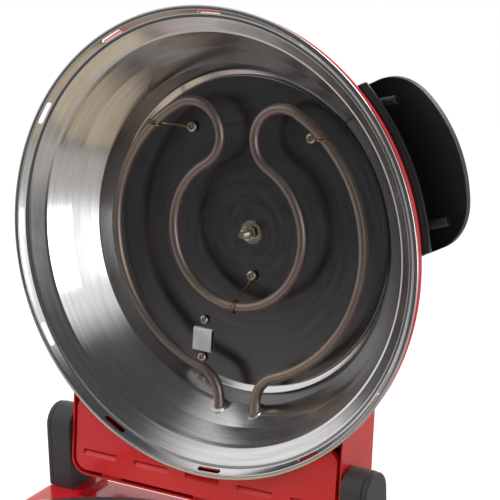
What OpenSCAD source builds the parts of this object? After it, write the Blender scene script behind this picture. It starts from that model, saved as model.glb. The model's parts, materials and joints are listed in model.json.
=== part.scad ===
// Electric pizza maker: a round base with a baking stone, and a domed lid that hinges open at the back.
// Millimetres, +Z up. The origin is on the table under the middle of the base, and the front faces -Y.
// The lid is drawn closed, with its rim at height 0 and its dome upwards, and is then swung open.

/* [Overall] */
// Diameter of the rims of the base and the lid
rim_d = 356; // [330:2:390]
// Height of the base's rim above the table
rim_h = 100; // [92:1:130]
// Gap between the two rims when the lid is shut
rim_gap = 1; // [0.6:0.1:2]
// Thickness of the pressed steel sheet
sheet = 1.2; // [0.9:0.1:1.6]
// How far the lid is swung open
open_angle = 97.8; // [85:0.1:105]

/* [Lid bowl] */
// Depth of the heat plate behind the lid's rim
plate_depth = 64; // [58:0.5:72]
// Diameter of the heat plate
plate_d = 240; // [220:2:256]
// How far the pressed features of the bowl are turned from the hinge's centre line
bowl_turn = -2.9; // [-10:0.1:10]
// Number of slots in the flange
slot_count = 12; // [6:1:16]
// Length of a flange slot
slot_len = 20; // [12:1:30]
// Width of a flange slot
slot_w = 4.2; // [2.5:0.1:4.6]

/* [Lid dome] */
// Height of the dome above the lid's rim
dome_h = 80; // [76:1:96]
// Height at which the dome's cone turns into its shoulder
shoulder_h = 54; // [48:1:58]
// How far the cone leans in from the rim to the shoulder
cone_lean = 28; // [20:1:32]

/* [Heaters] */
// Diameter of the heater tubes
tube_d = 8; // [6.5:0.1:9]
// Distance from the heat plate to the middle of the upper heater's tube
heater_lift = 20.5; // [16:0.5:24]
// Radius of the heater's outer bend
heater_r = 110; // [104:0.5:113]
// Radius of the two small bends
loop_r = 25; // [22:0.5:27]
// Distance of the two small bends from the middle line
loop_x = 40; // [36:0.5:44]
// Distance of each straight leg from the middle line
leg_x = 16.4; // [13:0.1:20]
// Thickness of the clip wire
wire_d = 1.6; // [1.2:0.1:2]

/* [Base and stone] */
// Diameter of the baking stone
stone_d = 310; // [290:2:312]
// Thickness of the baking stone
stone_t = 12; // [8:0.5:15]
// Depth of the stone's top below the base's rim
stone_sink = 7; // [5:0.5:9]
// Depth of the base bowl's floor below the rim
pan_depth = 54; // [52:0.5:60]
// Ground clearance under the base
clear_h = 13; // [8:1:18]
// Depth of the base's rear shelf top below the rim
shelf_drop = 7.5; // [6:0.5:12]
// Diameter of the foot ring
foot_ring_d = 240; // [200:2:260]

/* [Hinge] */
// Distance of the hinge axis behind the rim's edge
hinge_back = 7; // [6:0.5:10]
// Height of the hinge axis above the lid's rim
hinge_up = 22; // [20:0.5:26]
// Width of the hinge box
box_w = 242; // [220:2:252]
// Distance of the hinge box's rear wall behind the rim's edge
box_back = 23.2; // [22:0.1:28]
// Depth of the hinge box from its louvred cover to its top
box_t = 45; // [38:1:48]
// Diameter of the hinge pins
pin_d = 10; // [8:0.5:12]
// Radial running clearance of the hinge pins
pin_fit = 0.05; // [0.02:0.01:0.1]
// Side clearance between the hinge box and each arm
arm_gap = 1.3; // [0.8:0.1:2]
// Width of a hinge arm with its cover
arm_w = 22; // [18:0.5:26]
// Depth of a hinge arm from front to back
arm_d = 32; // [28:0.5:36]
// Height of an arm's top above the hinge axis
arm_top = 35; // [30:0.5:40]
// Number of louvres in the hinge cover
louvre_count = 5; // [3:1:6]
// Length of a louvre
louvre_len = 31; // [20:0.5:34]

/* [Handle and controls] */
// Direction of the handle and the controls, clockwise from the right-hand side
handle_turn = 27.7; // [0:0.1:60]
// Width of the handle
handle_w = 129; // [110:1:140]
// Reach of the handle from the middle of the lid
handle_reach = 212; // [204:1:218]
// Width of the control box
control_w = 118; // [100:1:130]
// Reach of the control box from the middle of the base
control_reach = 200; // [194:1:208]
// Diameter of the knob
knob_d = 44; // [36:1:48]
// Diameter of the thermostat's shaft
shaft_d = 6; // [5:0.1:8]
// Radial running clearance of the thermostat's shaft
shaft_fit = 0.05; // [0.02:0.01:0.1]

/* [Hidden] */
$fn = 96;

red = [0.74, 0.11, 0.12];
black = [0.09, 0.09, 0.095];
steel = [0.78, 0.78, 0.78];
dark_steel = [0.30, 0.29, 0.29];
tube_brown = [0.42, 0.37, 0.34];
bronze = [0.50, 0.38, 0.22];
zinc = [0.72, 0.66, 0.48];
white_ceramic = [0.92, 0.91, 0.87];

rim_r = rim_d / 2;
plate_r = plate_d / 2;
lid_z = rim_h + rim_gap;
hinge_y = rim_r + hinge_back;
hinge_z = lid_z + hinge_up;
seam = 0.15; // clearance where two pieces of one body meet side by side

// Rim, from the edge inwards: bead, slotted flange and ridge
bead_w = 1.8;
flange_drop = 5.4;
flange_in = rim_r - 6.6;
slot_r = (rim_r - bead_w + flange_in) / 2;
ridge_r = flange_in - 2;
step_r = rim_r - 17.5;
step_drop = 14.6;

// Helpers
function unit(v) = v / norm(v);
function side(a, b) = let (d = unit(b - a)) [-d[1], d[0]];
function mitre(p, i) =
    i == 0 ? side(p[0], p[1])
    : i == len(p) - 1 ? side(p[i - 1], p[i])
    : let (s = side(p[i - 1], p[i]), t = side(p[i], p[i + 1])) (s + t) / (1 + s * t);
function offset_path(p, t) = [for (i = [0:len(p) - 1]) p[i] + t * mitre(p, i)];
function backwards(p) = [for (i = [len(p) - 1:-1:0]) p[i]];
function sheet_section(p, t) = concat(p, backwards(offset_path(p, t)));
function arc(c, r, a0, a1, n) = [for (i = [0:n]) let (a = a0 + (a1 - a0) * i / n) c + r * [cos(a), sin(a)]];
function lerp(a, b, t) = a + (b - a) * t;

// A rectangle with round corners, about its centre
module round_rect(w, d, r) {
    square([w - 2 * r, d], center = true);
    square([w, d - 2 * r], center = true);
    for (x = [-1, 1], y = [-1, 1]) translate([x * (w / 2 - r), y * (d / 2 - r)]) circle(r);
}

// A straight bar of round section between two points
module rod(a, b, d) {
    v = b - a;
    turn = atan2(v[1], v[0]);
    tip = acos(v[2] / norm(v));
    translate(a) rotate([0, tip, turn]) cylinder(h = norm(v), d = d, $fn = 20);
}

// A ring of round wire about the z axis
module ring(r, d) rotate_extrude($fn = 40) translate([r, 0]) circle(d = d, $fn = 16);

// A pan-head screw that points down, with its head resting at z = 0
module screw(d, head_d, head_h, length) {
    difference() {
        cylinder(h = head_h, d1 = head_d, d2 = head_d * 0.8, $fn = 24);
        for (a = [0, 90]) rotate(a) translate([-head_d * 0.28, -0.5, head_h * 0.45])
            cube([head_d * 0.56, 1, head_h]);
    }
    translate([0, 0, -length]) cylinder(h = length, d = d, $fn = 20);
}

// Puts lid pieces, drawn closed about the lid's rim, where the open lid is
module open_lid() {
    translate([0, hinge_y, hinge_z]) rotate([-open_angle, 0, 0]) translate([0, -hinge_y, -hinge_up]) children();
}

// Puts pieces drawn with their depth upwards into the base, upside down
module in_base() translate([0, 0, rim_h]) mirror([0, 0, 1]) children();

// Turns pieces drawn along +X to the side of the handle and the controls
module to_handle() rotate([0, 0, -handle_turn]) children();

// Rims and bowls
rim_path = [[rim_r - bead_w, flange_drop], [flange_in, flange_drop]];
lid_wall_top = [step_r - 1.9, step_drop + 1.7];
lid_wall_foot = [plate_r + 3.5, plate_depth - 3.4];
lid_path = concat(rim_path, [[flange_in - 0.8, flange_drop - 0.5], [ridge_r, flange_drop + 0.2],
    [ridge_r - 0.6, flange_drop + 2.6], [ridge_r - 1.8, flange_drop + 4.6],
    [step_r + 1.6, step_drop - 0.8], [step_r, step_drop], [step_r - 1, step_drop + 0.6],
    lid_wall_top, lerp(lid_wall_top, lid_wall_foot, 0.5) + [-0.8, -0.8], lid_wall_foot,
    [plate_r + 1.6, plate_depth - 1], [plate_r - 0.6, plate_depth], [plate_r - 4.5, plate_depth]]);

ledge_depth = stone_sink + stone_t;
well_r = stone_d / 2 + 2.5;
ledge_in = stone_d / 2 - 8;
pan_r = ledge_in - 18;
base_path = concat(rim_path, [[flange_in - 1, flange_drop + 0.4], [well_r + 2.4, flange_drop + 1.2],
    [well_r + 0.6, flange_drop + 2.2], [well_r, flange_drop + 4], [well_r, ledge_depth - 1.4],
    [well_r - 1.2, ledge_depth], [ledge_in, ledge_depth], [ledge_in - 1.6, ledge_depth + 1.6],
    [pan_r + 3.5, pan_depth - 4], [pan_r + 1.2, pan_depth - 1], [pan_r - 1.5, pan_depth], [0, pan_depth]]);

// The section of a rim and bowl of sheet metal that follows a path, with a solid bead at the rim's edge
module bowl_section(path) {
    bead = [[rim_r, flange_drop + sheet], [rim_r, 0.5], [rim_r - 0.5, 0], [rim_r - bead_w + 0.5, 0],
        [rim_r - bead_w, 0.5]];
    polygon(concat(bead, path, backwards(offset_path(path, -sheet))));
}

// The space inside a bowl, kept clear of its surface by gap
module bowl_space(path, gap) rotate_extrude($fn = 120)
    polygon(concat([[0, 0], [path[0][0], 0]], offset_path(path, gap), [[0, path[len(path) - 1][1] - gap]]));

module flange_slots() {
    for (i = [0:slot_count - 1]) rotate(i * 360 / slot_count) translate([slot_r, 0, flange_drop]) {
        for (s = [-1, 1]) translate([0, s * (slot_len - slot_w) / 2, 0])
            cylinder(h = 8, d = slot_w, center = true, $fn = 24);
        cube([slot_w, slot_len - slot_w, 8], center = true);
    }
}

module leg_holes(depth, wall_y) {
    for (x = [-1, 1]) translate([x * leg_x, wall_y, depth]) rotate([-90, 0, 0])
        cylinder(h = 30, d = tube_d + 1.2, center = true, $fn = 40);
}

// Heaters
loop_y = sqrt(pow(heater_r - loop_r, 2) - loop_x * loop_x);
inner_y = 3;
inner_r = norm([loop_x, loop_y - inner_y]) - loop_r;
leg_bend_r = 23;
leg_y = sqrt(pow(heater_r + leg_bend_r, 2) - pow(leg_x + leg_bend_r, 2));
outer_a = atan2(leg_y, leg_x + leg_bend_r);
loop_a = atan2(loop_y, loop_x);
inner_a = atan2(loop_y - inner_y, loop_x);

// A bend of heater tube, with a hair-thin collar over each end that seals it to the next length
module tube_bend(c, r, a0, a1, collars = true) translate([c[0], c[1], 0]) {
    rotate(a0) rotate_extrude(angle = a1 - a0) translate([r, 0]) circle(d = tube_d, $fn = 32);
    if (collars) for (a = [a0, a1]) rotate(a) translate([r, 0, 0]) rotate([90, 0, 0])
        cylinder(h = 0.8, d = tube_d + 0.04, center = true, $fn = 32);
}

// The bent tube in the plane z = 0: the legs run to +Y as far as leg_end, the small bends lie towards -Y
module heater(leg_end) {
    for (m = [0, 1]) mirror([m, 0, 0]) {
        translate([leg_x, leg_y, 0]) rotate([-90, 0, 0]) cylinder(h = leg_end - leg_y, d = tube_d, $fn = 32);
        tube_bend([leg_x + leg_bend_r, leg_y], leg_bend_r, 180, 180 + outer_a);
        tube_bend([0, 0], heater_r, -loop_a, outer_a, collars = false);
        tube_bend([loop_x, -loop_y], loop_r, 180 - inner_a, 360 - loop_a);
    }
    tube_bend([0, -inner_y], inner_r, -inner_a, 180 + inner_a, collars = false);
}

// Ceramic beads on the ends of the legs, each with its terminal pin
module tube_ends(leg_end) for (x = [-1, 1]) translate([x * leg_x, leg_end, 0]) rotate([-90, 0, 0]) {
    cylinder(h = 6, d1 = tube_d + 2, d2 = tube_d);
    translate([0, 0, 5.9]) cylinder(h = 8, d = 3.2, $fn = 24);
}

// Where the wire clips hold the tube, and where their screws stand on the plate
clip_a = 47.7;
clip_at = heater_r * [cos(clip_a), -sin(clip_a)];
clip_foot = clip_at + [-21, 4.9];
clip_low = [-1.5, inner_r - inner_y];
clip_low_foot = clip_low + [2.5, -21];
clip_screw_d = 3.4;
clip_head_d = 8.4;
clip_eye_r = clip_screw_d / 2 + wire_d / 2 + 0.2;

// A wire ring round the tube at point p, which runs at angle a, with a leg to an eye round the screw at q
module wire_clip(p, a, q, drop) {
    eye_z = drop - wire_d / 2;
    ring_r = tube_d / 2 + wire_d / 2 + 0.05;
    toward = unit(q - p);
    knee = concat(q - toward * (clip_head_d / 2 + wire_d), eye_z);
    translate([p[0], p[1], 0]) rotate([90, 0, a + 90]) ring(ring_r, wire_d);
    rod([p[0], p[1], ring_r], knee, wire_d - 0.04);
    translate(knee) sphere(d = wire_d, $fn = 20);
    rod(knee, concat(q - toward * clip_eye_r, eye_z), wire_d - 0.04);
    translate([q[0], q[1], eye_z]) ring(clip_eye_r, wire_d);
}

module heater_clips(drop) {
    for (m = [0, 1]) mirror([m, 0, 0]) wire_clip(clip_at, 90 - clip_a, clip_foot, drop);
    wire_clip(clip_low, 0, clip_low_foot, drop);
}

clip_feet = [clip_foot, [-clip_foot[0], clip_foot[1]], clip_low_foot];

// Screws for the clips, standing on a plate at z = drop, with their heads towards z = 0
module clip_screws(drop) {
    for (p = clip_feet) translate([p[0], p[1], drop - wire_d]) mirror([0, 0, 1])
        screw(clip_screw_d, clip_head_d, 2.4, 5);
}

module clip_holes(depth) {
    for (p = clip_feet) translate([p[0], p[1], depth])
        cylinder(h = 8, d = clip_screw_d + 0.2, center = true, $fn = 24);
}

// Lipped collars where the legs pass through a bowl's wall. The lips lie on the wall's slope.
module ferrules(path, depth, wall_y) {
    lip = 1.2;
    for (x = [-1, 1]) difference() {
        union() {
            intersection() {
                leg_tube(x, wall_y, tube_d + 4, 24);
                translate([0, 0, -depth]) difference() {
                    bowl_space(path, 0.05);
                    bowl_space(path, lip);
                }
            }
            leg_tube(x, wall_y, tube_d + 1, 12);
        }
        leg_tube(x, wall_y, tube_d + 0.1, 40);
    }
}

module leg_tube(x, wall_y, d, h) translate([x * leg_x, wall_y, 0]) rotate([90, 0, 0])
    cylinder(h = h, d = d, center = true, $fn = 40);

// The lid's dome
skirt_z = flange_drop + sheet + 0.1;
skirt_r = rim_r - 1.3;
cone_foot_z = 10;
function cone_r(z) = rim_r - 2 - cone_lean * (z - cone_foot_z) / (shoulder_h - cone_foot_z);
cone_tilt = atan(cone_lean / (shoulder_h - cone_foot_z));
shoulder_r = (dome_h - shoulder_h) / (1 - sin(cone_tilt));
shoulder_c = [cone_r(shoulder_h), shoulder_h] - shoulder_r * [cos(cone_tilt), sin(cone_tilt)];
dome_path = concat([[skirt_r, skirt_z], [skirt_r, cone_foot_z - 1.5]], [[cone_r(cone_foot_z + 1), cone_foot_z + 1]],
    arc(shoulder_c, shoulder_r, cone_tilt, 90, 14), [[0, dome_h]]);

// The solid inside the dome's outer surface, grown by extra
module dome_solid(extra) rotate_extrude($fn = 120)
    polygon(concat([[0, 0], [skirt_r + extra, 0]], offset_path(dome_path, -extra), [[0, dome_h + extra]]));

// The base
foot_bend = 26;
base_lean = 18;
drum_path = concat([[0, clear_h]],
    arc([rim_r - 2 - base_lean - foot_bend, clear_h + foot_bend], foot_bend, -90, -16, 8),
    [[rim_r - 2, rim_h - cone_foot_z], [skirt_r, rim_h - cone_foot_z + 1.5], [skirt_r, rim_h - skirt_z]]);
shelf_z = rim_h - shelf_drop;
arm_x = box_w / 2 + arm_gap;
shelf_w = 2 * (arm_x + arm_w + 3.5);
shelf_y0 = 60;
shelf_y1 = hinge_y + arm_d / 2 + 3;
recess_w = box_w - 16;
recess_drop = 4;
recess_y = rim_r - 14;

// The drum's outer form, shrunk by inset. A shrunk one runs on upwards, to open the top.
module drum_solid(inset) {
    top = rim_h - skirt_z + (inset > 0 ? 5 : 0);
    rotate_extrude($fn = 120) polygon(concat(offset_path(drum_path, inset),
        [[skirt_r - inset, top + 0.01], [0, top + 0.01]]));
}

module shelf_solid(inset) {
    h = shelf_z - clear_h - 2 * inset;
    d = shelf_y1 - shelf_y0;
    intersection() {
        translate([0, shelf_y0 + d / 2, clear_h + inset]) linear_extrude(h)
            round_rect(shelf_w - 2 * inset, d - 2 * inset, 14 - inset);
        translate([0, shelf_y1 - inset, clear_h + shelf_z / 2 - clear_h / 2]) rotate([90, 0, 0])
            linear_extrude(d) round_rect(shelf_w - 2 * inset, h, 7 - inset);
    }
}

module recess(grow) translate([-recess_w / 2 - grow, recess_y - grow, shelf_z - recess_drop - grow])
    cube([recess_w + 2 * grow, 60 + 2 * grow, 20]);

module base_outside() {
    drum_solid(0);
    difference() {
        shelf_solid(0);
        recess(0);
    }
}

module base_inside(inset) {
    drum_solid(inset);
    difference() {
        shelf_solid(inset);
        recess(inset);
    }
}

module bottom_opening(grow) {
    cylinder(h = 3 * clear_h, r = rim_r - 46 + grow, center = true);
    translate([-80 - grow, 60, -clear_h]) cube([160 + 2 * grow, shelf_y1 - 30 - 60 + grow, 3 * clear_h]);
}

control_z0 = clear_h + 7;
control_z1 = rim_h - 13;
control_mid = (control_z0 + control_z1) / 2;
control_h = control_z1 - control_z0;
panel_t = 3.2;
panel_in = control_reach - panel_t;
knob_y = -22;
lamp_y = 34;
window_w = 70;
window_h = 44;
panel_screw_y = control_w / 2 - 8;
panel_screw_z = control_h / 2 - 8;
panel_screw_d = 3;
foot_stem_d = 6;
foot_x = shelf_w / 2 - 28;
foot_y = shelf_y1 - 17;
gland_x = -shelf_w / 2 + 46;
gland_z = 42;
gland_d = 14;
cord_hole_d = 7.2;
bottom_screw_r = rim_r - 40;
bottom_screw_d = 3.5;
bottom_spots = concat([for (i = [0:5]) bottom_screw_r * [cos(30 + 60 * i), sin(30 + 60 * i)]],
    [[-foot_x + 22, foot_y], [foot_x - 22, foot_y]]);
arm_bolt_d = 5;
arm_bolt_y = arm_d / 2 - 7;
arm_bolt_x = arm_x + arm_w / 2 - 3;

module base_shell() color(red) difference() {
    base_outside();
    base_inside(sheet);
    bottom_opening(0);
    // Windows for the wiring and the thermostat behind the control box
    to_handle() translate([rim_r - 60, -window_w / 2, control_mid - window_h / 2])
        cube([80, window_w, window_h]);
    translate([gland_x, shelf_y1, gland_z]) rotate([90, 0, 0])
        cylinder(h = 20, d = gland_d + 0.2, center = true);
    for (x = [-foot_x, foot_x]) translate([x, foot_y, clear_h])
        cylinder(h = 8, d = foot_stem_d + 0.2, center = true);
    for (p = bottom_spots) translate([p[0], p[1], clear_h])
        cylinder(h = 8, d = bottom_screw_d + 0.2, center = true);
    for (x = [-1, 1], y = [-1, 1]) translate([x * arm_bolt_x, hinge_y + y * arm_bolt_y, shelf_z])
        cylinder(h = 12, d = arm_bolt_d + 0.3, center = true);
}

plate_z = plate_depth - sheet;
lid_tube_z = plate_z - heater_lift;
base_tube_z = pan_depth - heater_lift;
// Where a bowl's sloping wall is at the depth of its heater
function on_line(a, b, z) = a[0] + (b[0] - a[0]) * (z - a[1]) / (b[1] - a[1]);
base_wall_r = on_line([ledge_in - 1.6, ledge_depth + 1.6], [pan_r + 3.5, pan_depth - 4], base_tube_z);
lid_wall_r = on_line(lid_wall_top, lid_wall_foot, lid_tube_z);
lower_turn = -90 - handle_turn;

module in_pan() in_base() translate([0, 0, base_tube_z]) rotate(lower_turn) children();

module base_bowl() color(steel) in_base() difference() {
    rotate_extrude($fn = 120) bowl_section(base_path);
    rotate(-bowl_turn) flange_slots();
    rotate(lower_turn) {
        leg_holes(base_tube_z, base_wall_r);
        clip_holes(pan_depth);
    }
}

module bottom_cover() color(dark_steel) difference() {
    intersection() {
        translate([0, 0, -seam]) base_inside(sheet + 2 * seam);
        translate([-rim_r, -rim_r, clear_h + sheet]) cube([rim_d, 3 * rim_r, sheet]);
    }
    for (x = [-foot_x, foot_x]) translate([x, foot_y, clear_h])
        cylinder(h = 12, d = foot_stem_d + 4, center = true);
    for (p = bottom_spots) translate([p[0], p[1], clear_h])
        cylinder(h = 12, d = bottom_screw_d + 0.2, center = true);
    // Rows of cooling slots inside the foot ring
    for (i = [0:11]) rotate(i * 30) for (r = [50, 66, 82]) translate([r, 0, clear_h]) {
        cube([4, 16, 12], center = true);
        for (s = [-1, 1]) translate([0, 8 * s, 0]) cylinder(h = 12, d = 4, center = true, $fn = 20);
    }
}

module foot_ring() color(black) rotate_extrude($fn = 120) {
    r = foot_ring_d / 2;
    polygon([[r - 12, 1.5], [r - 10.5, 0], [r - 1.5, 0], [r, 1.5], [r, 5], [r - 1.5, 7],
        [r - 1.5, clear_h + sheet], [r - 10.5, clear_h + sheet], [r - 10.5, 7], [r - 12, 5]]);
}

module rear_feet() color(black) for (x = [-foot_x, foot_x]) translate([x, foot_y, 0]) {
    cylinder(h = 1.5, d1 = 20, d2 = 23);
    translate([0, 0, 1.5]) cylinder(h = clear_h - 1.5, d1 = 23, d2 = 20);
    translate([0, 0, clear_h - 1]) cylinder(h = sheet + 4, d = foot_stem_d);
    translate([0, 0, clear_h + sheet]) cylinder(h = 2, d1 = foot_stem_d + 2.4, d2 = foot_stem_d);
}

module bottom_screws() color(zinc) for (p = bottom_spots) translate([p[0], p[1], clear_h])
    mirror([0, 0, 1]) screw(bottom_screw_d, 7, 2.2, 7);

lower_leg_end = base_wall_r + 12;
module lower_heater() color(tube_brown) in_pan() heater(lower_leg_end);

module lower_tube_ends() color(white_ceramic) in_pan() tube_ends(lower_leg_end);

module lower_clips() color(bronze) in_pan() heater_clips(pan_depth - base_tube_z);

module lower_screws() color(zinc) in_pan() clip_screws(pan_depth - base_tube_z);

module lower_ferrules() color(steel) in_pan() ferrules(base_path, base_tube_z, base_wall_r);

// Hinge arms
arm_foot_z = shelf_z;
arm_top_z = hinge_z + arm_top;
cover_t = 4;
pin_head_d = pin_d + 6;
pin_head_t = 3;

module arm_profile(inset) {
    r = arm_d / 2 - inset;
    translate([0, arm_top_z - arm_d / 2]) circle(r);
    translate([-r, arm_foot_z + inset]) square([2 * r, arm_top_z - arm_d / 2 - arm_foot_z - inset]);
}

// Runs a profile drawn in Y and Z along X, from x0 by t
module along_x(x0, t) translate([x0, hinge_y, 0]) rotate([90, 0, 90]) linear_extrude(t) children();

module on_hinge(x0) translate([x0, hinge_y, hinge_z]) rotate([0, 90, 0]) children();

module arm_body() difference() {
    along_x(arm_x, arm_w - cover_t) arm_profile(0);
    on_hinge(arm_x - 1) cylinder(h = arm_w, d = pin_d + 0.04);
    on_hinge(arm_x + arm_w - cover_t - pin_head_t - 0.3) cylinder(h = 20, d = pin_head_d + 0.6);
    for (y = [-1, 1]) translate([arm_bolt_x, hinge_y + y * arm_bolt_y, arm_foot_z - 1])
        cylinder(h = 23, d = arm_bolt_d + 0.05);
    // Shallow seat for the cover's rim
    along_x(arm_x + arm_w - cover_t - 0.8, 2) difference() {
        arm_profile(-1);
        arm_profile(0.8);
    }
}

module arm_cover() {
    x = arm_x + arm_w - cover_t;
    along_x(x + 0.05, cover_t - 1.2) arm_profile(0.5);
    along_x(x + 0.05, cover_t - 0.4) arm_profile(0.9);
    along_x(x + 0.05, cover_t) arm_profile(1.6);
}

module right_arm() color(black) arm_body();
module left_arm() color(black) mirror([1, 0, 0]) arm_body();
module right_arm_cover() color(black) arm_cover();
module left_arm_cover() color(black) mirror([1, 0, 0]) arm_cover();

module arm_bolts() color(zinc) for (m = [0, 1], y = [-1, 1]) mirror([m, 0, 0])
    translate([arm_bolt_x, hinge_y + y * arm_bolt_y, shelf_z - sheet]) mirror([0, 0, 1])
        screw(arm_bolt_d, 9, 3, 18);

bush_r = pin_d / 2 + 2;
bush_flange_t = 2;
pin_in = box_w / 2 - sheet - bush_flange_t - 5;
clip_t = 1;
clip_x = box_w / 2 - sheet - bush_flange_t - 0.5 - clip_t;

module hinge_pin() {
    head_x = arm_x + arm_w - cover_t - pin_head_t - 0.2;
    difference() {
        union() {
            on_hinge(pin_in) cylinder(h = head_x - pin_in + 1, d = pin_d);
            on_hinge(head_x) cylinder(h = pin_head_t, d = pin_head_d);
        }
        on_hinge(pin_in - 1) cylinder(h = 60, d = pin_d - 4);
        on_hinge(clip_x - 0.1) difference() {
            cylinder(h = clip_t + 0.2, d = pin_d + 2);
            translate([0, 0, -1]) cylinder(h = clip_t + 3, d = pin_d - 1.2);
        }
    }
}

module hinge_pins() color(steel) for (m = [0, 1]) mirror([m, 0, 0]) hinge_pin();

module pin_clips() color(dark_steel) for (m = [0, 1]) mirror([m, 0, 0]) on_hinge(clip_x) difference() {
    cylinder(h = clip_t, d = pin_d + 5);
    translate([0, 0, -1]) cylinder(h = clip_t + 2, d = pin_d - 1.1);
    rotate(90) translate([0, -1.2, -1]) cube([20, 2.4, clip_t + 2]);
}

// Controls
module at_panel_corners(out = 0) for (y = [-1, 1], z = [-1, 1])
    translate([y * (panel_screw_y + out), z * (panel_screw_z + out), 0]) children();

module control_box() color(black) to_handle() difference() {
    translate([0, 0, control_mid]) rotate([90, 0, 90]) difference() {
        translate([0, 0, rim_r - 60]) linear_extrude(panel_in - rim_r + 60)
            round_rect(control_w, control_h, 12);
        translate([0, 0, rim_r - 62]) linear_extrude(panel_in - rim_r + 70) difference() {
            round_rect(control_w - 5, control_h - 5, 9.5);
            at_panel_corners() circle(d = 9);
            at_panel_corners(4) square(8, center = true);
        }
        at_panel_corners() translate([0, 0, panel_in - 14]) cylinder(h = 30, d = panel_screw_d + 0.05);
    }
    drum_solid(-0.15);
}

module control_panel() color(black) to_handle() difference() {
    translate([panel_in, 0, control_mid]) rotate([90, 0, 90]) difference() {
        union() {
            linear_extrude(panel_t - 0.8) round_rect(control_w, control_h, 12);
            linear_extrude(panel_t) round_rect(control_w - 2, control_h - 2, 11);
        }
        translate([knob_y, 0, -1]) cylinder(h = 9, d = 10.4);
        translate([lamp_y, 0, -1]) cylinder(h = 9, d = 12.2);
        at_panel_corners() {
            cylinder(h = 19, d = panel_screw_d + 0.4, center = true);
            translate([0, 0, panel_t - 1.6]) cylinder(h = 9, d = 6.4);
        }
    }
}

module panel_screws() color(zinc) to_handle() translate([control_reach - 1.6, 0, control_mid])
    rotate([90, 0, 90]) at_panel_corners() screw(panel_screw_d, 5.6, 1.5, 12);

module on_panel(y, x0) to_handle() translate([x0, y, control_mid]) rotate([0, 90, 0]) children();

module lamp_lens() color([0.9, 0.25, 0.1]) on_panel(lamp_y, 0) {
    translate([0, 0, panel_in - 8]) cylinder(h = panel_t + 8, d = 12);
    translate([0, 0, control_reach]) cylinder(h = 1.2, d = 15);
    translate([0, 0, control_reach + 1.2]) cylinder(h = 1.4, d1 = 12, d2 = 9);
}

module lamp_holder() color(white_ceramic) on_panel(lamp_y, panel_in - 22) difference() {
    cylinder(h = 22, d = 16);
    translate([0, 0, 13.9]) cylinder(h = 10, d = 12.1);
}

shaft_x0 = control_reach - 22;
module thermostat() color(white_ceramic) {
    on_panel(knob_y, panel_in) difference() {
        union() {
            translate([0, 0, -24]) cylinder(h = 16, d = 34);
            translate([0, 0, -8]) cylinder(h = 8, d = 22);
            cylinder(h = panel_t + 0.4, d = 10.2);
            for (a = [60, 180, 300]) rotate(a) translate([11, -3, -29]) cube([1, 6.3, 6]);
        }
        translate([0, 0, -20]) cylinder(h = 40, d = shaft_d + 2 * shaft_fit);
    }
}

// The thermostat's bulb lies against the underside of the base bowl, with its capillary led to the thermostat
bulb_d = 6;
bulb_len = 56;
bulb_r = 100;
capillary_d = 1.6;
module thermostat_bulb() color(bronze) to_handle() {
    z = rim_h - pan_depth - sheet - bulb_d / 2 - 0.05;
    start = [bulb_r, -bulb_len / 2, z];
    line = [start, [bulb_r + 10, -bulb_len / 2 - 8, z - 2], [rim_r - 36, -bulb_len / 2 - 6, z - 4],
        [panel_in - 40, knob_y - 6, control_mid - 9], [panel_in - 24.1, knob_y - 6, control_mid - 9]];
    translate(start) rotate([-90, 0, 0]) cylinder(h = bulb_len, d = bulb_d);
    translate(start) sphere(d = bulb_d, $fn = 32);
    for (i = [1:len(line) - 1]) rod(line[i - 1], line[i], capillary_d - 0.04);
    for (i = [1:len(line) - 2]) translate(line[i]) sphere(d = capillary_d, $fn = 20);
    // Saddle that holds the bulb
    translate([bulb_r, 4, z]) rotate([90, 0, 0]) linear_extrude(8) difference() {
        union() {
            circle(d = bulb_d + 1.7);
            translate([0, bulb_d / 2 - 0.4]) square([bulb_d + 12, 0.8], center = true);
        }
        circle(d = bulb_d + 0.1);
        translate([-10, bulb_d / 2]) square([20, 10]);
    }
}

module terminal_block() color(white_ceramic)
    translate([gland_x + 34, shelf_y1 - 42, clear_h + 2 * sheet]) difference() {
    union() {
        cube([42, 16, 6]);
        for (i = [0:2]) translate([1 + i * 14, 0, 5.9]) cube([12, 16, 10]);
    }
    for (i = [0:2]) translate([7 + i * 14, -1, 11]) rotate([-90, 0, 0]) cylinder(h = 18, d = 4);
    for (i = [0:2], y = [4, 12]) translate([7 + i * 14, y, 11]) cylinder(h = 18, d = 3);
}

module cord_gland() color(black) translate([gland_x, shelf_y1, gland_z]) rotate([-90, 0, 0]) difference() {
    union() {
        translate([0, 0, -12]) cylinder(h = 12, d = gland_d);
        cylinder(h = 2.5, d = gland_d + 6);
        translate([0, 0, 2.5]) cylinder(h = 5, d1 = gland_d + 2, d2 = gland_d - 2);
        translate([0, 0, -12]) cylinder(h = 12 - sheet, d = gland_d + 4);
    }
    translate([0, 0, -20]) cylinder(h = 40, d = cord_hole_d);
}

knob_x0 = control_reach + 1.2;
module knob() color(black) on_panel(knob_y, knob_x0) difference() {
    union() {
        cylinder(h = 4, d1 = knob_d + 2, d2 = knob_d);
        translate([0, 0, 4]) cylinder(h = 13, d1 = knob_d - 2, d2 = knob_d - 6);
        translate([0, 0, 17]) cylinder(h = 1.6, d1 = knob_d - 6, d2 = knob_d - 9);
    }
    for (i = [0:17]) rotate(i * 20 + 10) translate([knob_d / 2 - 0.4, 0, 5.5]) rotate([0, -7, 0])
        cylinder(h = 14, d = 3.2, $fn = 20);
    rotate(180) translate([8, -0.8, 17.8]) cube([knob_d, 1.6, 3]);
    translate([0, 0, -0.1]) cylinder(h = 12.1, d = shaft_d + 0.04);
    translate([0, 0, -0.1]) difference() {
        cylinder(h = 9, d = knob_d - 10);
        translate([0, 0, -1]) cylinder(h = 11, d = shaft_d + 7);
    }
}

module knob_shaft() color(steel) on_panel(knob_y, shaft_x0 - 0.5)
    cylinder(h = knob_x0 + 11.6 - shaft_x0, d = shaft_d);

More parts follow.
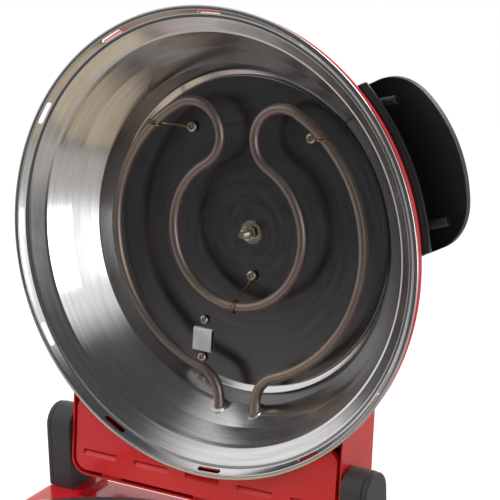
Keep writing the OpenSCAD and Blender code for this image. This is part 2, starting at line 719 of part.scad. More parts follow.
module stone() color([0.80, 0.72, 0.60]) translate([0, 0, rim_h - ledge_depth]) rotate_extrude($fn = 120)
    polygon([[0, 0], [stone_d / 2 - 1, 0], [stone_d / 2, 1], [stone_d / 2, stone_t - 1.2],
        [stone_d / 2 - 1.2, stone_t], [0, stone_t]]);

// The lid
boss_y = 46;
boss_z = 23;
boss_d = 9;
boss_a = asin(boss_y / (cone_r(boss_z) + 5));
handle_screw_d = 4;

module at_bosses() for (s = [-1, 1]) rotate(s * boss_a) translate([0, 0, boss_z]) rotate([0, 90, 0]) children();

module lid_shell() color(red) open_lid() difference() {
    rotate_extrude($fn = 120) polygon(sheet_section(dome_path, sheet));
    to_handle() at_bosses() cylinder(h = rim_d, d = handle_screw_d + 0.2);
    // Window into the hinge box for the heater's legs and the wiring
    translate([-50, plate_r, lid_tube_z - 10]) cube([100, 60, 18]);
}

module lid_bowl() color(steel) open_lid() rotate(bowl_turn) difference() {
    rotate_extrude($fn = 120) bowl_section(lid_path);
    flange_slots();
    leg_holes(lid_tube_z, lid_wall_r);
}

stud_d = 6;
module heat_plate() color(dark_steel) open_lid() rotate(bowl_turn) translate([0, 0, plate_z]) difference() {
    cylinder(h = sheet, r = plate_r - 1.2, $fn = 120);
    cylinder(h = 9, d = stud_d + 0.2, center = true);
    clip_holes(0);
    at_strap() strap_holes();
}

wool_gap = 4.5;
module lid_insulation() color([0.85, 0.82, 0.72]) open_lid() difference() {
    translate([0, 0, plate_depth + wool_gap])
        cylinder(h = dome_h - sheet - 1 - plate_depth - wool_gap, r = plate_r - 18);
    cylinder(h = 200, r = 14, center = true);
}

module in_lid_bowl() open_lid() rotate(bowl_turn) translate([0, 0, lid_tube_z]) children();

lid_leg_end = rim_r - 12;
module upper_heater() color(tube_brown) in_lid_bowl() heater(lid_leg_end);
module upper_clips() color(bronze) in_lid_bowl() heater_clips(heater_lift);
module upper_screws() color(zinc) in_lid_bowl() clip_screws(heater_lift);
module upper_ferrules() color(steel) in_lid_bowl() ferrules(lid_path, lid_tube_z, lid_wall_r);

module upper_tube_ends() color(white_ceramic) in_lid_bowl() tube_ends(lid_leg_end);

module centre_stud() color(zinc) open_lid() translate([0, 0, plate_z - 15]) {
    cylinder(h = dome_h - sheet - plate_z + 15, d = stud_d);
    translate([0, 0, dome_h - sheet - plate_z + 14]) cylinder(h = 1, d = 16);
}

module centre_spacer() color(zinc) open_lid() translate([0, 0, plate_depth]) difference() {
    cylinder(h = dome_h - sheet - plate_depth - 1.1, d = 13);
    cylinder(h = 60, d = stud_d + 0.4, center = true);
}

washer_t = 1.6;
nut_t = 6.5;
module centre_washer() color(zinc) open_lid() translate([0, 0, plate_z - washer_t]) difference() {
    cylinder(h = washer_t, d = 18);
    cylinder(h = 9, d = stud_d + 0.4, center = true);
}

module centre_nut() color(zinc) open_lid() translate([0, 0, plate_z - washer_t - nut_t]) difference() {
    cylinder(h = nut_t, d = 13 / cos(30), $fn = 6);
    cylinder(h = 30, d = stud_d + 0.04, center = true);
}

// A bridge of sheet metal that clamps the thermal cut-out against the plate
strap_w = 16;
strap_rise = 4.5;
strap_a = 26.4;
strap_r = plate_r - 21.8;
module at_strap() translate([-strap_r * sin(strap_a), strap_r * cos(strap_a)]) rotate(3.8) children();
module strap_holes() for (s = [-1, 1]) translate([0, 15 * s, 0])
    cylinder(h = 30, d = 3.6, center = true, $fn = 24);

module cutout_strap() color(steel) open_lid() rotate(bowl_turn) translate([0, 0, plate_z]) mirror([0, 0, 1])
    at_strap() difference() {
        union() {
            rotate([90, 0, 90]) translate([0, 0, -strap_w / 2]) linear_extrude(strap_w) polygon(sheet_section(
                [[-9.8, 1], [-8.8, strap_rise], [8.8, strap_rise], [9.8, 1]], -1));
            for (s = [-1, 1]) translate([-5, s > 0 ? 8.8 : -19, 0]) cube([10, 10.2, 1]);
        }
        strap_holes();
    }

module strap_screws() color(zinc) open_lid() rotate(bowl_turn) translate([0, 0, plate_z]) mirror([0, 0, 1])
    at_strap() for (s = [-1, 1]) translate([0, 15 * s, 1]) screw(3.4, 7.4, 2.2, 5);

// Hinge box
box_z = hinge_up - 15;
box_corner = 14;
cover_gap = 3;
box_y1 = rim_r + box_back;

box_y0 = 60;
module box_outline(inset) translate([0, (box_y1 + box_y0) / 2])
    round_rect(box_w - 2 * inset, box_y1 - box_y0 - 2 * inset, box_corner - inset);

module hinge_box() color(red) open_lid() difference() {
    translate([0, 0, box_z]) linear_extrude(box_t) box_outline(0);
    translate([0, 0, box_z - 1]) linear_extrude(box_t + 1 - sheet) box_outline(sheet);
    dome_solid(0.15);
    translate([0, hinge_y, hinge_up]) rotate([0, 90, 0])
        cylinder(h = 2 * box_w, r = bush_r + 0.05, center = true);
    at_rivets() cylinder(h = 20, d = 3.2, center = true);
}

louvre_pitch = (box_w - 2 * 11.3 - louvre_len) / (louvre_count - 1);
louvre_y = rim_r + 2;
louvre_w = 5;
louvre_drop = 3.4;
cover_h = 6.5;
rivet_x = box_w / 2 - 36;
tab_w = 18;

module at_rivets() for (x = [-rivet_x, 0, rivet_x])
    translate([x, box_y1 - sheet, box_z + 9]) rotate([-90, 0, 0]) children();

module at_louvres() for (i = [0:louvre_count - 1])
    translate([(i - (louvre_count - 1) / 2) * louvre_pitch, louvre_y, box_z]) children();

// A louvre's pocket, grown by grow: deepest at its slit on the rim's side, with round corners at the far side
module louvre_pocket(grow) intersection() {
    translate([0, 0, -1]) linear_extrude(20) {
        translate([-louvre_len / 2 - grow, 0]) square([louvre_len + 2 * grow, louvre_w / 2]);
        translate([0, louvre_w / 2])
            round_rect(louvre_len + 2 * grow, louvre_w + 2 * grow, louvre_w / 2 - 0.2 + grow);
    }
    rotate([90, 0, 90]) translate([0, 0, -louvre_len]) linear_extrude(2 * louvre_len)
        polygon([[-1, -1], [-1, louvre_drop + grow], [0, louvre_drop + grow], [louvre_w + grow, grow],
            [louvre_w + grow, -1]]);
}

module hinge_cover() color(red) open_lid() difference() {
    union() {
        difference() {
            translate([0, 0, box_z]) linear_extrude(cover_h) cover_outline(0);
            translate([0, 0, box_z + sheet]) linear_extrude(cover_h) cover_outline(sheet);
        }
        intersection() {
            at_louvres() louvre_pocket(sheet);
            translate([0, 0, box_z]) linear_extrude(20) cover_outline(0);
        }
        for (x = [-rivet_x, 0, rivet_x])
            translate([x - tab_w / 2, box_y1 - sheet - cover_gap - sheet, box_z + 3])
                cube([tab_w, cover_gap + sheet - 0.1, 11]);
    }
    at_louvres() {
        louvre_pocket(0);
        translate([-louvre_len / 2, -3, sheet]) cube([louvre_len, 3.2, 20]);
    }
    translate([0, 0, -20]) dome_bore();
    at_rivets() cylinder(h = 20, d = 3.2, center = true);
}

module dome_bore() cylinder(h = 60, r = rim_r - 0.6);

module cover_outline(inset) {
    y0 = rim_r - 40;
    y1 = box_y1 - sheet - cover_gap;
    translate([0, (y0 + y1) / 2])
        round_rect(box_w - 2 * (sheet + cover_gap + inset), y1 - y0 - 2 * inset, box_corner - 4 - inset);
}

module cover_rivets() color(red) open_lid() at_rivets() {
    translate([0, 0, sheet]) cylinder(h = 1.2, d1 = 7, d2 = 4.5);
    translate([0, 0, -cover_gap - 0.2]) cylinder(h = cover_gap + sheet + 0.3, d = 3.1);
}

module at_bush() translate([box_w / 2 - sheet, hinge_y, hinge_up]) rotate([0, 90, 0]) children();

module hinge_bushes() color(bronze) open_lid() for (m = [0, 1]) mirror([m, 0, 0]) difference() {
    union() {
        intersection() {
            at_bush() translate([0, 0, -bush_flange_t]) cylinder(h = bush_flange_t, r = bush_r + 3);
            translate([0, 0, box_z]) linear_extrude(box_t) box_outline(sheet + 0.05);
        }
        at_bush() translate([0, 0, -bush_flange_t])
            cylinder(h = bush_flange_t + sheet + arm_gap - 0.4, r = bush_r);
    }
    at_bush() cylinder(h = 30, d = pin_d + 2 * pin_fit, center = true);
}

// Handle
grip_root_z = 44;
grip_tip_z = 33;
grip_t = 4;
grip_r = handle_reach;
strip_z0 = 13;
strip_z1 = 50;

module grip_outline(inset) intersection() {
    w = handle_w - 2 * inset;
    y = 24 - inset;
    translate([grip_r - 98, 0]) circle(r = 98 - inset, $fn = 160);
    union() {
        translate([100, -w / 2]) square([grip_r - 34 - 100, w]);
        translate([100, -w / 2 + y]) square([grip_r - 9 - 100, w - 2 * y]);
        for (s = [-1, 1]) translate([grip_r - 34, s * (w / 2 - y)]) circle(r = y);
    }
}

// The grip's section: level by the shell, then down to the tip
grip_line = [[120, grip_root_z], [cone_r(grip_root_z) + 8, grip_root_z], [grip_r - 14, grip_tip_z + 2.5],
    [grip_r + 2, grip_tip_z - 1.5]];
module grip_band(z_up, z_down) rotate_extrude($fn = 120)
    polygon(concat([for (p = grip_line) p + [0, z_up]], backwards([for (p = grip_line) p - [0, z_down]])));

module handle() color(black) open_lid() to_handle() difference() {
    union() {
        intersection() {
            rotate_extrude($fn = 120) polygon([[cone_r(strip_z0) - 3, strip_z0], [cone_r(strip_z0) + 4.5, strip_z0],
                [cone_r(strip_z1) + 5, strip_z1], [cone_r(strip_z1) - 3, strip_z1]]);
            linear_extrude(80) grip_outline(0);
        }
        intersection() {
            grip_band(0, grip_t);
            linear_extrude(80) grip_outline(0);
        }
        intersection() {
            grip_band(-0.5, grip_t + 5);
            linear_extrude(80) difference() {
                grip_outline(0);
                grip_outline(3);
            }
        }
        at_bosses() translate([0, 0, cone_r(boss_z) - 2]) cylinder(h = 18, d = boss_d);
    }
    dome_solid(0.15);
    at_bosses() cylinder(h = cone_r(boss_z) + 12, d = handle_screw_d + 0.05);
}

// How far inside the cone the heads of the handle's screws sit
head_in = 5.5;
module handle_screws() color(zinc) open_lid() to_handle() at_bosses()
    translate([0, 0, cone_r(boss_z) - head_in]) mirror([0, 0, 1]) screw(handle_screw_d, 8, 2.6, 16);

// The space inside the cone's sheet
module cone_inside() {
    wall = (sheet + 0.05) / cos(cone_tilt);
    rotate_extrude($fn = 360) polygon([[0, cone_foot_z + 1], [cone_r(cone_foot_z + 1) - wall, cone_foot_z + 1],
        [cone_r(shoulder_h) - wall, shoulder_h], [0, shoulder_h]]);
}

// Wedge washers between the screws' flat heads and the sloping shell
module handle_washers() color(black) open_lid() to_handle() intersection() {
    at_bosses() translate([0, 0, cone_r(boss_z) - head_in]) difference() {
        cylinder(h = 20, d = 9);
        cylinder(h = 50, d = handle_screw_d + 0.2, center = true);
    }
    cone_inside();
}

base_shell();
base_bowl();
bottom_cover();
foot_ring();
rear_feet();
bottom_screws();
lower_heater();
lower_tube_ends();
lower_clips();
lower_screws();
lower_ferrules();
left_arm();
right_arm();
left_arm_cover();
right_arm_cover();
arm_bolts();
hinge_pins();
pin_clips();
control_box();
control_panel();
panel_screws();
lamp_lens();
lamp_holder();
thermostat();
thermostat_bulb();
terminal_block();
cord_gland();
knob();
knob_shaft();
stone();
lid_shell();
lid_bowl();
heat_plate();
lid_insulation();
upper_heater();
upper_clips();
upper_screws();
upper_ferrules();
upper_tube_ends();
centre_stud();
centre_spacer();
centre_washer();
centre_nut();
cutout_strap();
strap_screws();
hinge_box();
hinge_cover();
cover_rivets();
hinge_bushes();
handle();
handle_screws();
handle_washers();
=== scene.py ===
import json
import math
import bpy
from mathutils import Matrix, Vector


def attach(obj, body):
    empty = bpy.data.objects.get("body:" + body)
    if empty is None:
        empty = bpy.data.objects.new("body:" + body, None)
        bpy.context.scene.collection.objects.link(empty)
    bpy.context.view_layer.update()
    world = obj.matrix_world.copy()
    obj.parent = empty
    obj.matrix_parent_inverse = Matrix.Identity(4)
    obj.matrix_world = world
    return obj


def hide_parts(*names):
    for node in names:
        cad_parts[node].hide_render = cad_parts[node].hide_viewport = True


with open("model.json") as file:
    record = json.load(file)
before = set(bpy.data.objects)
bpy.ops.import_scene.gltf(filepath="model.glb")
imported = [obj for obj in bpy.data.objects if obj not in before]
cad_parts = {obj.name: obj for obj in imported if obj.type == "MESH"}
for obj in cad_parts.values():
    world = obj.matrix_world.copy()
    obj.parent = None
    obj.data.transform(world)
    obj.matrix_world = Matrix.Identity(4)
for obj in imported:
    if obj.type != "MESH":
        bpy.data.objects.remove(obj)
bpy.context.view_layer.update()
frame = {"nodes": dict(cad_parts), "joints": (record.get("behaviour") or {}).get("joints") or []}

mm = 0.001  # pieces are given in millimetres and degrees, finishes and the studio in metres
scene = bpy.context.scene
nodes = frame["nodes"]
joints = {joint["name"]: joint for joint in frame["joints"]}

# Where the lid is and which way the knob faces, from the joints

# The hinge's height over the shut lid's rim, and how far the bowl and the grip are turned in the lid
lidPlace = {"hingeUp": 22.0, "bowlTurn": -2.9, "gripTurn": -27.7}

hingeAt = Vector(joints["lid_hinge"]["pos_m"])
openTurn = math.radians(min(joints["lid_hinge"]["range_deg"]))
lidRimHeight = hingeAt.z - lidPlace["hingeUp"] * mm
openLid = Matrix.Translation(hingeAt) @ Matrix.Rotation(openTurn, 4, "X") @ Matrix.Translation(-hingeAt)
rimCentre = openLid @ Vector((0, 0, lidRimHeight))
knobAxis = -Vector(joints["knob_turn"]["axis"])
print("frame loaded,", len(nodes), "nodes")

# Camera

cameraSetup = {
    "place": (1.0579, -1.3758, 0.9683),
    "target": (0.0533, 0.1653, 0.3217),
    "roll": -1.7354,
    "lens": 194.87,
    "film": 36,
    "farthest": 50,
}


def placeCamera():
    data = bpy.data.cameras.new("camera")
    camera = bpy.data.objects.new("camera", data)
    scene.collection.objects.link(camera)
    away = Vector(cameraSetup["target"]) - Vector(cameraSetup["place"])
    rolled = Matrix.Rotation(math.radians(cameraSetup["roll"]), 3, "Z")
    camera.location = cameraSetup["place"]
    camera.rotation_euler = (away.to_track_quat("-Z", "Y").to_matrix() @ rolled).to_euler()
    data.lens = cameraSetup["lens"]
    data.sensor_width = cameraSetup["film"]
    data.clip_end = cameraSetup["farthest"]
    scene.camera = camera


placeCamera()

# Small helpers for shader trees


def addNode(tree, kind, links=(), values=(), **settings):
    node = tree.nodes.new(kind)
    for name, value in settings.items():
        setattr(node, name, value)
    for socket, value in values:
        node.inputs[socket].default_value = value
    for socket, source in links:
        tree.links.new(source, node.inputs[socket])
    return node


def addMath(tree, operation, first, second=None):
    node = addNode(tree, "ShaderNodeMath", operation=operation)
    for socket, source in ((0, first), (1, second)):
        if isinstance(source, (int, float)):
            node.inputs[socket].default_value = source
        elif source is not None:
            tree.links.new(source, node.inputs[socket])
    return node.outputs[0]


# The second value may be another vector, a fixed one, or the number of a SCALE
def addVectorMath(tree, operation, first, second=None):
    node = addNode(tree, "ShaderNodeVectorMath", [(0, first)], operation=operation)
    if isinstance(second, tuple):
        node.inputs[1].default_value = second
    elif isinstance(second, (int, float)):
        node.inputs["Scale"].default_value = second
    elif second is not None:
        tree.links.new(second, node.inputs[1])
    return node.outputs["Value" if operation in ("LENGTH", "DOT_PRODUCT") else "Vector"]


def mixColours(tree, amount, first, second):
    node = addNode(tree, "ShaderNodeMix", data_type="RGBA")
    for socket, source in ((0, amount), (6, first), (7, second)):
        if isinstance(source, (int, float, tuple)):
            node.inputs[socket].default_value = source
        else:
            tree.links.new(source, node.inputs[socket])
    return node.outputs[2]


def spread(tree, source, low, high, fromLow=0.0, fromHigh=1.0):
    node = addNode(tree, "ShaderNodeMapRange", [("Value", source)],
                   [("From Min", fromLow), ("From Max", fromHigh), ("To Min", low), ("To Max", high)])
    return node.outputs[0]


def addNoise(tree, vector, scale, detail=2.0, roughness=0.5):
    return addNode(tree, "ShaderNodeTexNoise", [("Vector", vector)],
                   [("Scale", scale), ("Detail", detail), ("Roughness", roughness)]).outputs[0]


def newMaterial(name, **shaderValues):
    material = bpy.data.materials.new(name)
    material.use_nodes = True
    tree = material.node_tree
    shader = tree.nodes["Principled BSDF"]
    for socket, value in shaderValues.items():
        shader.inputs[socket.replace("_", " ")].default_value = value
    place = addNode(tree, "ShaderNodeTexCoord").outputs["Object"]
    return material, tree, shader, place


def setColour(tree, shader, colour):
    tree.links.new(colour, shader.inputs["Base Color"])


def setRoughness(tree, shader, roughness):
    tree.links.new(roughness, shader.inputs["Roughness"])


def setBump(tree, shader, height, strength, distance, rounded=0.0):
    links = [("Height", height)]
    if rounded:
        bevel = addNode(tree, "ShaderNodeBevel", values=[("Radius", rounded)], samples=4)
        links.append(("Normal", bevel.outputs[0]))
    bump = addNode(tree, "ShaderNodeBump", links, [("Strength", strength), ("Distance", distance)])
    tree.links.new(bump.outputs[0], shader.inputs["Normal"])


# Coordinates about the open lid's rim: z runs into the bowl
def aboutLid(tree, place):
    turn = [("Location", rimCentre), ("Rotation", (openTurn, 0, 0))]
    return addNode(tree, "ShaderNodeMapping", [("Vector", place)], turn, vector_type="TEXTURE").outputs[0]


# A pattern stretched along circles about z, as a lathe leaves it
def turnedLines(tree, place, across, along):
    split = addNode(tree, "ShaderNodeSeparateXYZ", [(0, place)])
    flat = addNode(tree, "ShaderNodeCombineXYZ", [(0, split.outputs[0]), (1, split.outputs[1])]).outputs[0]
    side = addVectorMath(tree, "SCALE", addVectorMath(tree, "NORMALIZE", flat), along)
    reach = addMath(tree, "ADD", addVectorMath(tree, "LENGTH", flat), split.outputs[2])
    up = addNode(tree, "ShaderNodeCombineXYZ", [(2, addMath(tree, "MULTIPLY", reach, across))]).outputs[0]
    return addVectorMath(tree, "ADD", side, up)


# Tools for shaping pieces


def clearSelection():
    if bpy.context.mode != "OBJECT":
        bpy.ops.object.mode_set(mode="OBJECT")
    bpy.ops.object.select_all(action="DESELECT")


def selectOnly(piece):
    clearSelection()
    piece.select_set(True)
    bpy.context.view_layer.objects.active = piece


# Opens a piece in edit mode with the faces or edges selected that the test picks
def openEdit(piece, kind, picks):
    bpy.context.view_layer.objects.active = piece
    bpy.ops.object.mode_set(mode="EDIT")
    bpy.ops.mesh.select_mode(type=kind)
    bpy.ops.mesh.select_all(action="DESELECT")
    bpy.ops.object.mode_set(mode="OBJECT")
    mesh = piece.data
    for part in (mesh.polygons if kind == "FACE" else mesh.edges):
        part.select = picks(part, [mesh.vertices[index].co for index in part.vertices])
    bpy.ops.object.mode_set(mode="EDIT")


def closeEdit():
    bpy.ops.object.mode_set(mode="OBJECT")


def applyBoolean(piece, cutter, operation):
    modifier = piece.modifiers.new("cut", "BOOLEAN")
    modifier.operation = operation
    modifier.object = cutter
    modifier.solver = "EXACT"
    selectOnly(piece)
    bpy.ops.object.modifier_apply(modifier=modifier.name)
    bpy.data.objects.remove(cutter)


def smoothPiece(piece, angle=35):
    selectOnly(piece)
    bpy.ops.object.shade_smooth_by_angle(angle=math.radians(angle))


def copyTo(piece, matrix):
    twin = piece.copy()
    twin.data = piece.data.copy()
    scene.collection.objects.link(twin)
    twin.data.transform(matrix)
    return twin


def joinPieces(parts):
    clearSelection()
    for part in parts:
        part.select_set(True)
    bpy.context.view_layer.objects.active = parts[0]
    if len(parts) > 1:
        bpy.ops.object.join()
    return bpy.context.object


# Joins shaped pieces, gives them their finish and puts them where a CAD node was
def finishPiece(parts, name, material, body, node):
    piece = joinPieces(parts)
    bpy.ops.object.transform_apply(location=True, rotation=True, scale=True)
    piece.name = name
    piece.data.name = name
    piece.data.materials.clear()
    piece.data.materials.append(material)
    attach(piece, body)
    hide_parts(node)
    return piece


# Sections and outlines, given in millimetres and drawn point by point

outlineSetup = {"spinSteps": 180, "weld": 0.001, "seamWeld": 0.005}


# Replaces each corner that has a third number by an arc of that radius
def roundCorners(corners, steps=5):
    points = []
    for index, (x, y, *rest) in enumerate(corners):
        here = Vector((x, y))
        if not rest:
            points.append(here)
            continue
        before = (Vector(corners[index - 1][:2]) - here).normalized()
        after = (Vector(corners[(index + 1) % len(corners)][:2]) - here).normalized()
        half = before.angle(after) / 2
        centre = here + (before + after).normalized() * rest[0] / math.sin(half)
        first = here + before * rest[0] / math.tan(half) - centre
        last = here + after * rest[0] / math.tan(half) - centre
        for step in range(steps + 1):
            points.append(centre + first.slerp(last, step / steps).normalized() * rest[0])
    return points


# A rectangle, with its corners rounded where a radius is given
def rectangle(low, high, *radius):
    (left, front), (right, back) = low, high
    return roundCorners([(right, back, *radius), (left, back, *radius),
                         (left, front, *radius), (right, front, *radius)])


# A path beside another, square to its lines
def offsetPath(points, distance):
    sides = []
    for start, end in zip(points, points[1:]):
        along = (end - start).normalized()
        sides.append(Vector((-along.y, along.x)))
    shifted = []
    for index, point in enumerate(points):
        before, after = sides[max(index - 1, 0)], sides[min(index, len(sides) - 1)]
        shifted.append(point + (before + after) * distance / (1 + before.dot(after)))
    return shifted


def sheetSection(points, thickness):
    return points + offsetPath(points, thickness)[::-1]


def arcPoints(centre, radius, start, end, steps):
    turns = [math.radians(start + (end - start) * step / steps) for step in range(steps + 1)]
    return [Vector(centre) + radius * Vector((math.cos(turn), math.sin(turn))) for turn in turns]


# Draws a closed outline, and fills it when it is to be extruded
def drawOutline(points, upright, filled=False):
    clearSelection()
    spots = [Vector((point.x, 0, point.y) if upright else (point.x, point.y, 0)) * mm for point in points]
    bpy.ops.mesh.primitive_plane_add(size=mm, location=spots[0])
    piece = bpy.context.object
    bpy.ops.object.transform_apply(location=True, rotation=False, scale=False)
    bpy.ops.object.mode_set(mode="EDIT")
    bpy.ops.mesh.select_mode(type="VERT")
    bpy.ops.mesh.select_all(action="SELECT")
    bpy.ops.mesh.merge(type="CENTER")
    for start, end in zip(spots, spots[1:] + spots[:1]):
        bpy.ops.mesh.extrude_region_move(TRANSFORM_OT_translate={"value": end - start})
    bpy.ops.mesh.select_all(action="SELECT")
    bpy.ops.mesh.remove_doubles(threshold=outlineSetup["weld"] * mm)
    if filled:
        bpy.ops.mesh.edge_face_add()
    return piece


# Turns a section, given as radius and height, about Z
def spinSection(points, steps=outlineSetup["spinSteps"]):
    piece = drawOutline(points, True)
    bpy.ops.mesh.spin(steps=steps, angle=2 * math.pi, center=(0, 0, 0), axis=(0, 0, 1))
    bpy.ops.mesh.select_all(action="SELECT")
    bpy.ops.mesh.remove_doubles(threshold=outlineSetup["seamWeld"] * mm)
    bpy.ops.mesh.normals_make_consistent(inside=False)
    closeEdit()
    return piece


def raiseOutline(points, low, high):
    piece = drawOutline(points, False, filled=True)
    bpy.ops.mesh.extrude_region_move(TRANSFORM_OT_translate={"value": (0, 0, (high - low) * mm)})
    bpy.ops.mesh.select_all(action="SELECT")
    bpy.ops.transform.translate(value=(0, 0, low * mm))
    bpy.ops.mesh.normals_make_consistent(inside=False)
    closeEdit()
    return piece


# A cylinder about Z, in metres
def addCylinder(radius, height, middle=0, sides=40):
    clearSelection()
    bpy.ops.mesh.primitive_cylinder_add(vertices=sides, radius=radius, depth=height, location=(0, 0, middle))
    bpy.ops.object.transform_apply(location=True, rotation=False, scale=False)
    return bpy.context.object


# A rod about Z, in millimetres, put in its place
def addRod(width, length, matrix):
    return placeWhole(addCylinder(width / 2 * mm, length * mm), matrix)


def moved(x, y, z):
    return Matrix.Translation(Vector((x, y, z)) * mm)


def turned(degrees, axis):
    return Matrix.Rotation(math.radians(degrees), 4, axis)


def placeWhole(piece, matrix):
    piece.data.transform(matrix)
    return piece


# A turn that takes +Z to a direction
def facing(direction):
    return direction.to_track_quat("Z", "Y").to_matrix().to_4x4()


# The lid's bowl, pressed from sheet: rolled bead, slotted conical flange, flat ridge, step, wall and the
# seat of the heat plate. Sections are given as radius and depth from the rim.

lidRim = openLid @ Matrix.Translation((0, 0, lidRimHeight))
bowlRim = lidRim @ turned(lidPlace["bowlTurn"], "Z")
bowlLook = {
    "sheet": 1.2,
    "path": [(174.4, 1.0), (170.8, 5.5, 1.2), (168.2, 5.5, 1.0), (166.6, 6.8, 1.0), (158.6, 13.4, 0.8),
             (156.9, 14.2, 0.8), (154.8, 17.2, 3.0), (144.6, 30.2, 14.0), (130.2, 46.6, 5.0),
             (124.2, 61.2, 2.5), (119.6, 64, 1.6), (115.5, 64)],
    "bead": [(178, 0, 0.9), (178, 2.2, 0.9), (174.2, 2.2, 0.5), (174.2, 0, 0.9)],
    "slots": 12,
    "slotLength": 20.0,
    "slotWidth": 4.0,
    "slotEdge": 0.01,
    "slotCut": 4.0,
    "slotAt": (172.6, 3.25),
    "slotTilt": 49.8,
    "legX": 16.4,
    "legY": 134.0,
    "legDepth": 42.3,
    "legHole": 9.2,
    "legCut": 40.0,
    "lipWidth": 12.4,
    "lipHole": 8.1,
    "lipWall": [(148, 25.9), (144.6, 30.2), (130.2, 46.6), (124.2, 61.2)],
    "lipHeight": 0.9,
}


# Rods through the wall where the heater's legs pass
def legRods(width):
    look = bowlLook
    places = [moved(side * look["legX"], look["legY"], look["legDepth"]) for side in (-1, 1)]
    return [addRod(width, look["legCut"], place @ turned(90, "X")) for place in places]


def shapeBowl(material):
    look = bowlLook
    bowl = spinSection(sheetSection(roundCorners(look["path"]), -look["sheet"]))
    wide, long = look["slotWidth"] / 2, look["slotLength"] / 2
    outline = rectangle((-wide, -long), (wide, long), wide - look["slotEdge"])
    slot = raiseOutline(outline, -look["slotCut"], look["slotCut"])
    at = moved(look["slotAt"][0], 0, look["slotAt"][1]) @ turned(look["slotTilt"], "Y")
    cuts = [copyTo(slot, turned(360 / look["slots"] * count, "Z") @ at) for count in range(look["slots"])]
    bpy.data.objects.remove(slot)
    applyBoolean(bowl, joinPieces(cuts + legRods(look["legHole"])), "DIFFERENCE")
    bead = spinSection(roundCorners(look["bead"]))
    for part in (bowl, bead):
        smoothPiece(part, 30)
        placeWhole(part, bowlRim)
    finishPiece([bowl, bead], "pressedBowl", material, "lid", "lid_bowl")
    lips = spinSection(sheetSection(roundCorners(look["lipWall"]), look["lipHeight"]))
    applyBoolean(lips, joinPieces(legRods(look["lipWidth"])), "INTERSECT")
    applyBoolean(lips, joinPieces(legRods(look["lipHole"])), "DIFFERENCE")
    smoothPiece(lips, 30)
    finishPiece([placeWhole(lips, bowlRim)], "legCollars", material, "lid", "upper_ferrules")
    print("bowl shaped")


# The red dome. Its edge lies behind the bowl's ridge, so the flange's slots open to the outside.

domeLook = {
    "sheet": 1.2,
    "edge": [(171.0, 6.9), (174.4, 8.9, 1.5), (175.3, 11.4, 1.5), (173.4, 14)],
    "shoulder": (99.0, 21.65),
    "shoulderWidth": 58.35,
    "shoulderTilt": 32.5,
    "top": 80.0,
    "steps": 160,
    "windowX": 50.0,
    "windowY": (120.0, 180.0),
    "windowZ": (32.3, 50.3),
}


def shapeDome(material):
    look = domeLook
    shoulder = arcPoints(look["shoulder"], look["shoulderWidth"], look["shoulderTilt"], 90, 24)
    path = roundCorners(look["edge"]) + shoulder + [Vector((0, look["top"]))]
    dome = spinSection(sheetSection(path, look["sheet"]), look["steps"])
    window = rectangle((-look["windowX"], look["windowY"][0]), (look["windowX"], look["windowY"][1]))
    applyBoolean(dome, raiseOutline(window, *look["windowZ"]), "DIFFERENCE")
    smoothPiece(dome, 30)
    placeWhole(dome, lidRim)
    finishPiece([dome], "redDome", material, "lid", "lid_shell")
    print("dome shaped")


# The grip: a strip on the dome, a plate with a thin lip, and two hollow screw bosses

gripLook = {
    "reach": 212.0,
    "width": 129.0,
    "bow": 98.0,
    "corner": 40.0,
    "from": 120.0,
    "line": [(120, 44), (163, 44, 6), (198, 35.5, 20), (214, 31.5)],
    "thick": 3.0,
    "lip": 1.1,
    "lipDepth": 2.4,
    "lipSink": 0.6,
    "lipInset": 0.02,
    "stripInset": 0.01,
    "cutDepth": (-1, 71),
    "steps": 200,
    "strip": [(172.8, 13, 0.3), (181.4, 13, 1.0), (178.4, 20, 2.0), (156.4, 50, 0.8), (150.6, 50, 0.3)],
    "inside": [(0, -1), (174.9, -1), (174.9, 11.5), (148.4, 53), (140, 62), (0, 62)],
    "bosses": [((162, -48.6), (182.5, -44.9)), ((162, 44.6), (186.1, 48.6))],
    "bossDepth": 23.0,
    "bossWidth": 7.0,
    "bossHole": 3.2,
    "bossHoleDepth": 8.0,
    "bossEdge": 0.8,
}
gripPlace = lidRim @ turned(lidPlace["gripTurn"], "Z")


# The grip seen from above: a wide outer arc that runs through two corner arcs into straight sides
def gripOutline(inset):
    look = gripLook
    bowX = look["reach"] - look["bow"]
    cornerY = look["width"] / 2 - look["corner"]
    cornerX = bowX + math.sqrt((look["bow"] - look["corner"]) ** 2 - cornerY ** 2)
    meet = math.degrees(math.atan2(cornerY, cornerX - bowX))
    corner = look["corner"] - inset
    points = [Vector((look["from"], inset - look["width"] / 2))]
    points += arcPoints((cornerX, -cornerY), corner, -90, -meet, 16)
    points += arcPoints((bowX, 0), look["bow"] - inset, -meet, meet, 24)[1:-1]
    points += arcPoints((cornerX, cornerY), corner, meet, 90, 16)
    points.append(Vector((look["from"], look["width"] / 2 - inset)))
    return points


def gripBand(up, down):
    line = roundCorners(gripLook["line"])
    return spinSection([point + Vector((0, up)) for point in line]
                       + [point - Vector((0, down)) for point in line[::-1]], gripLook["steps"])


def trimGrip(part, inset, operation="INTERSECT"):
    applyBoolean(part, raiseOutline(gripOutline(inset), *gripLook["cutDepth"]), operation)


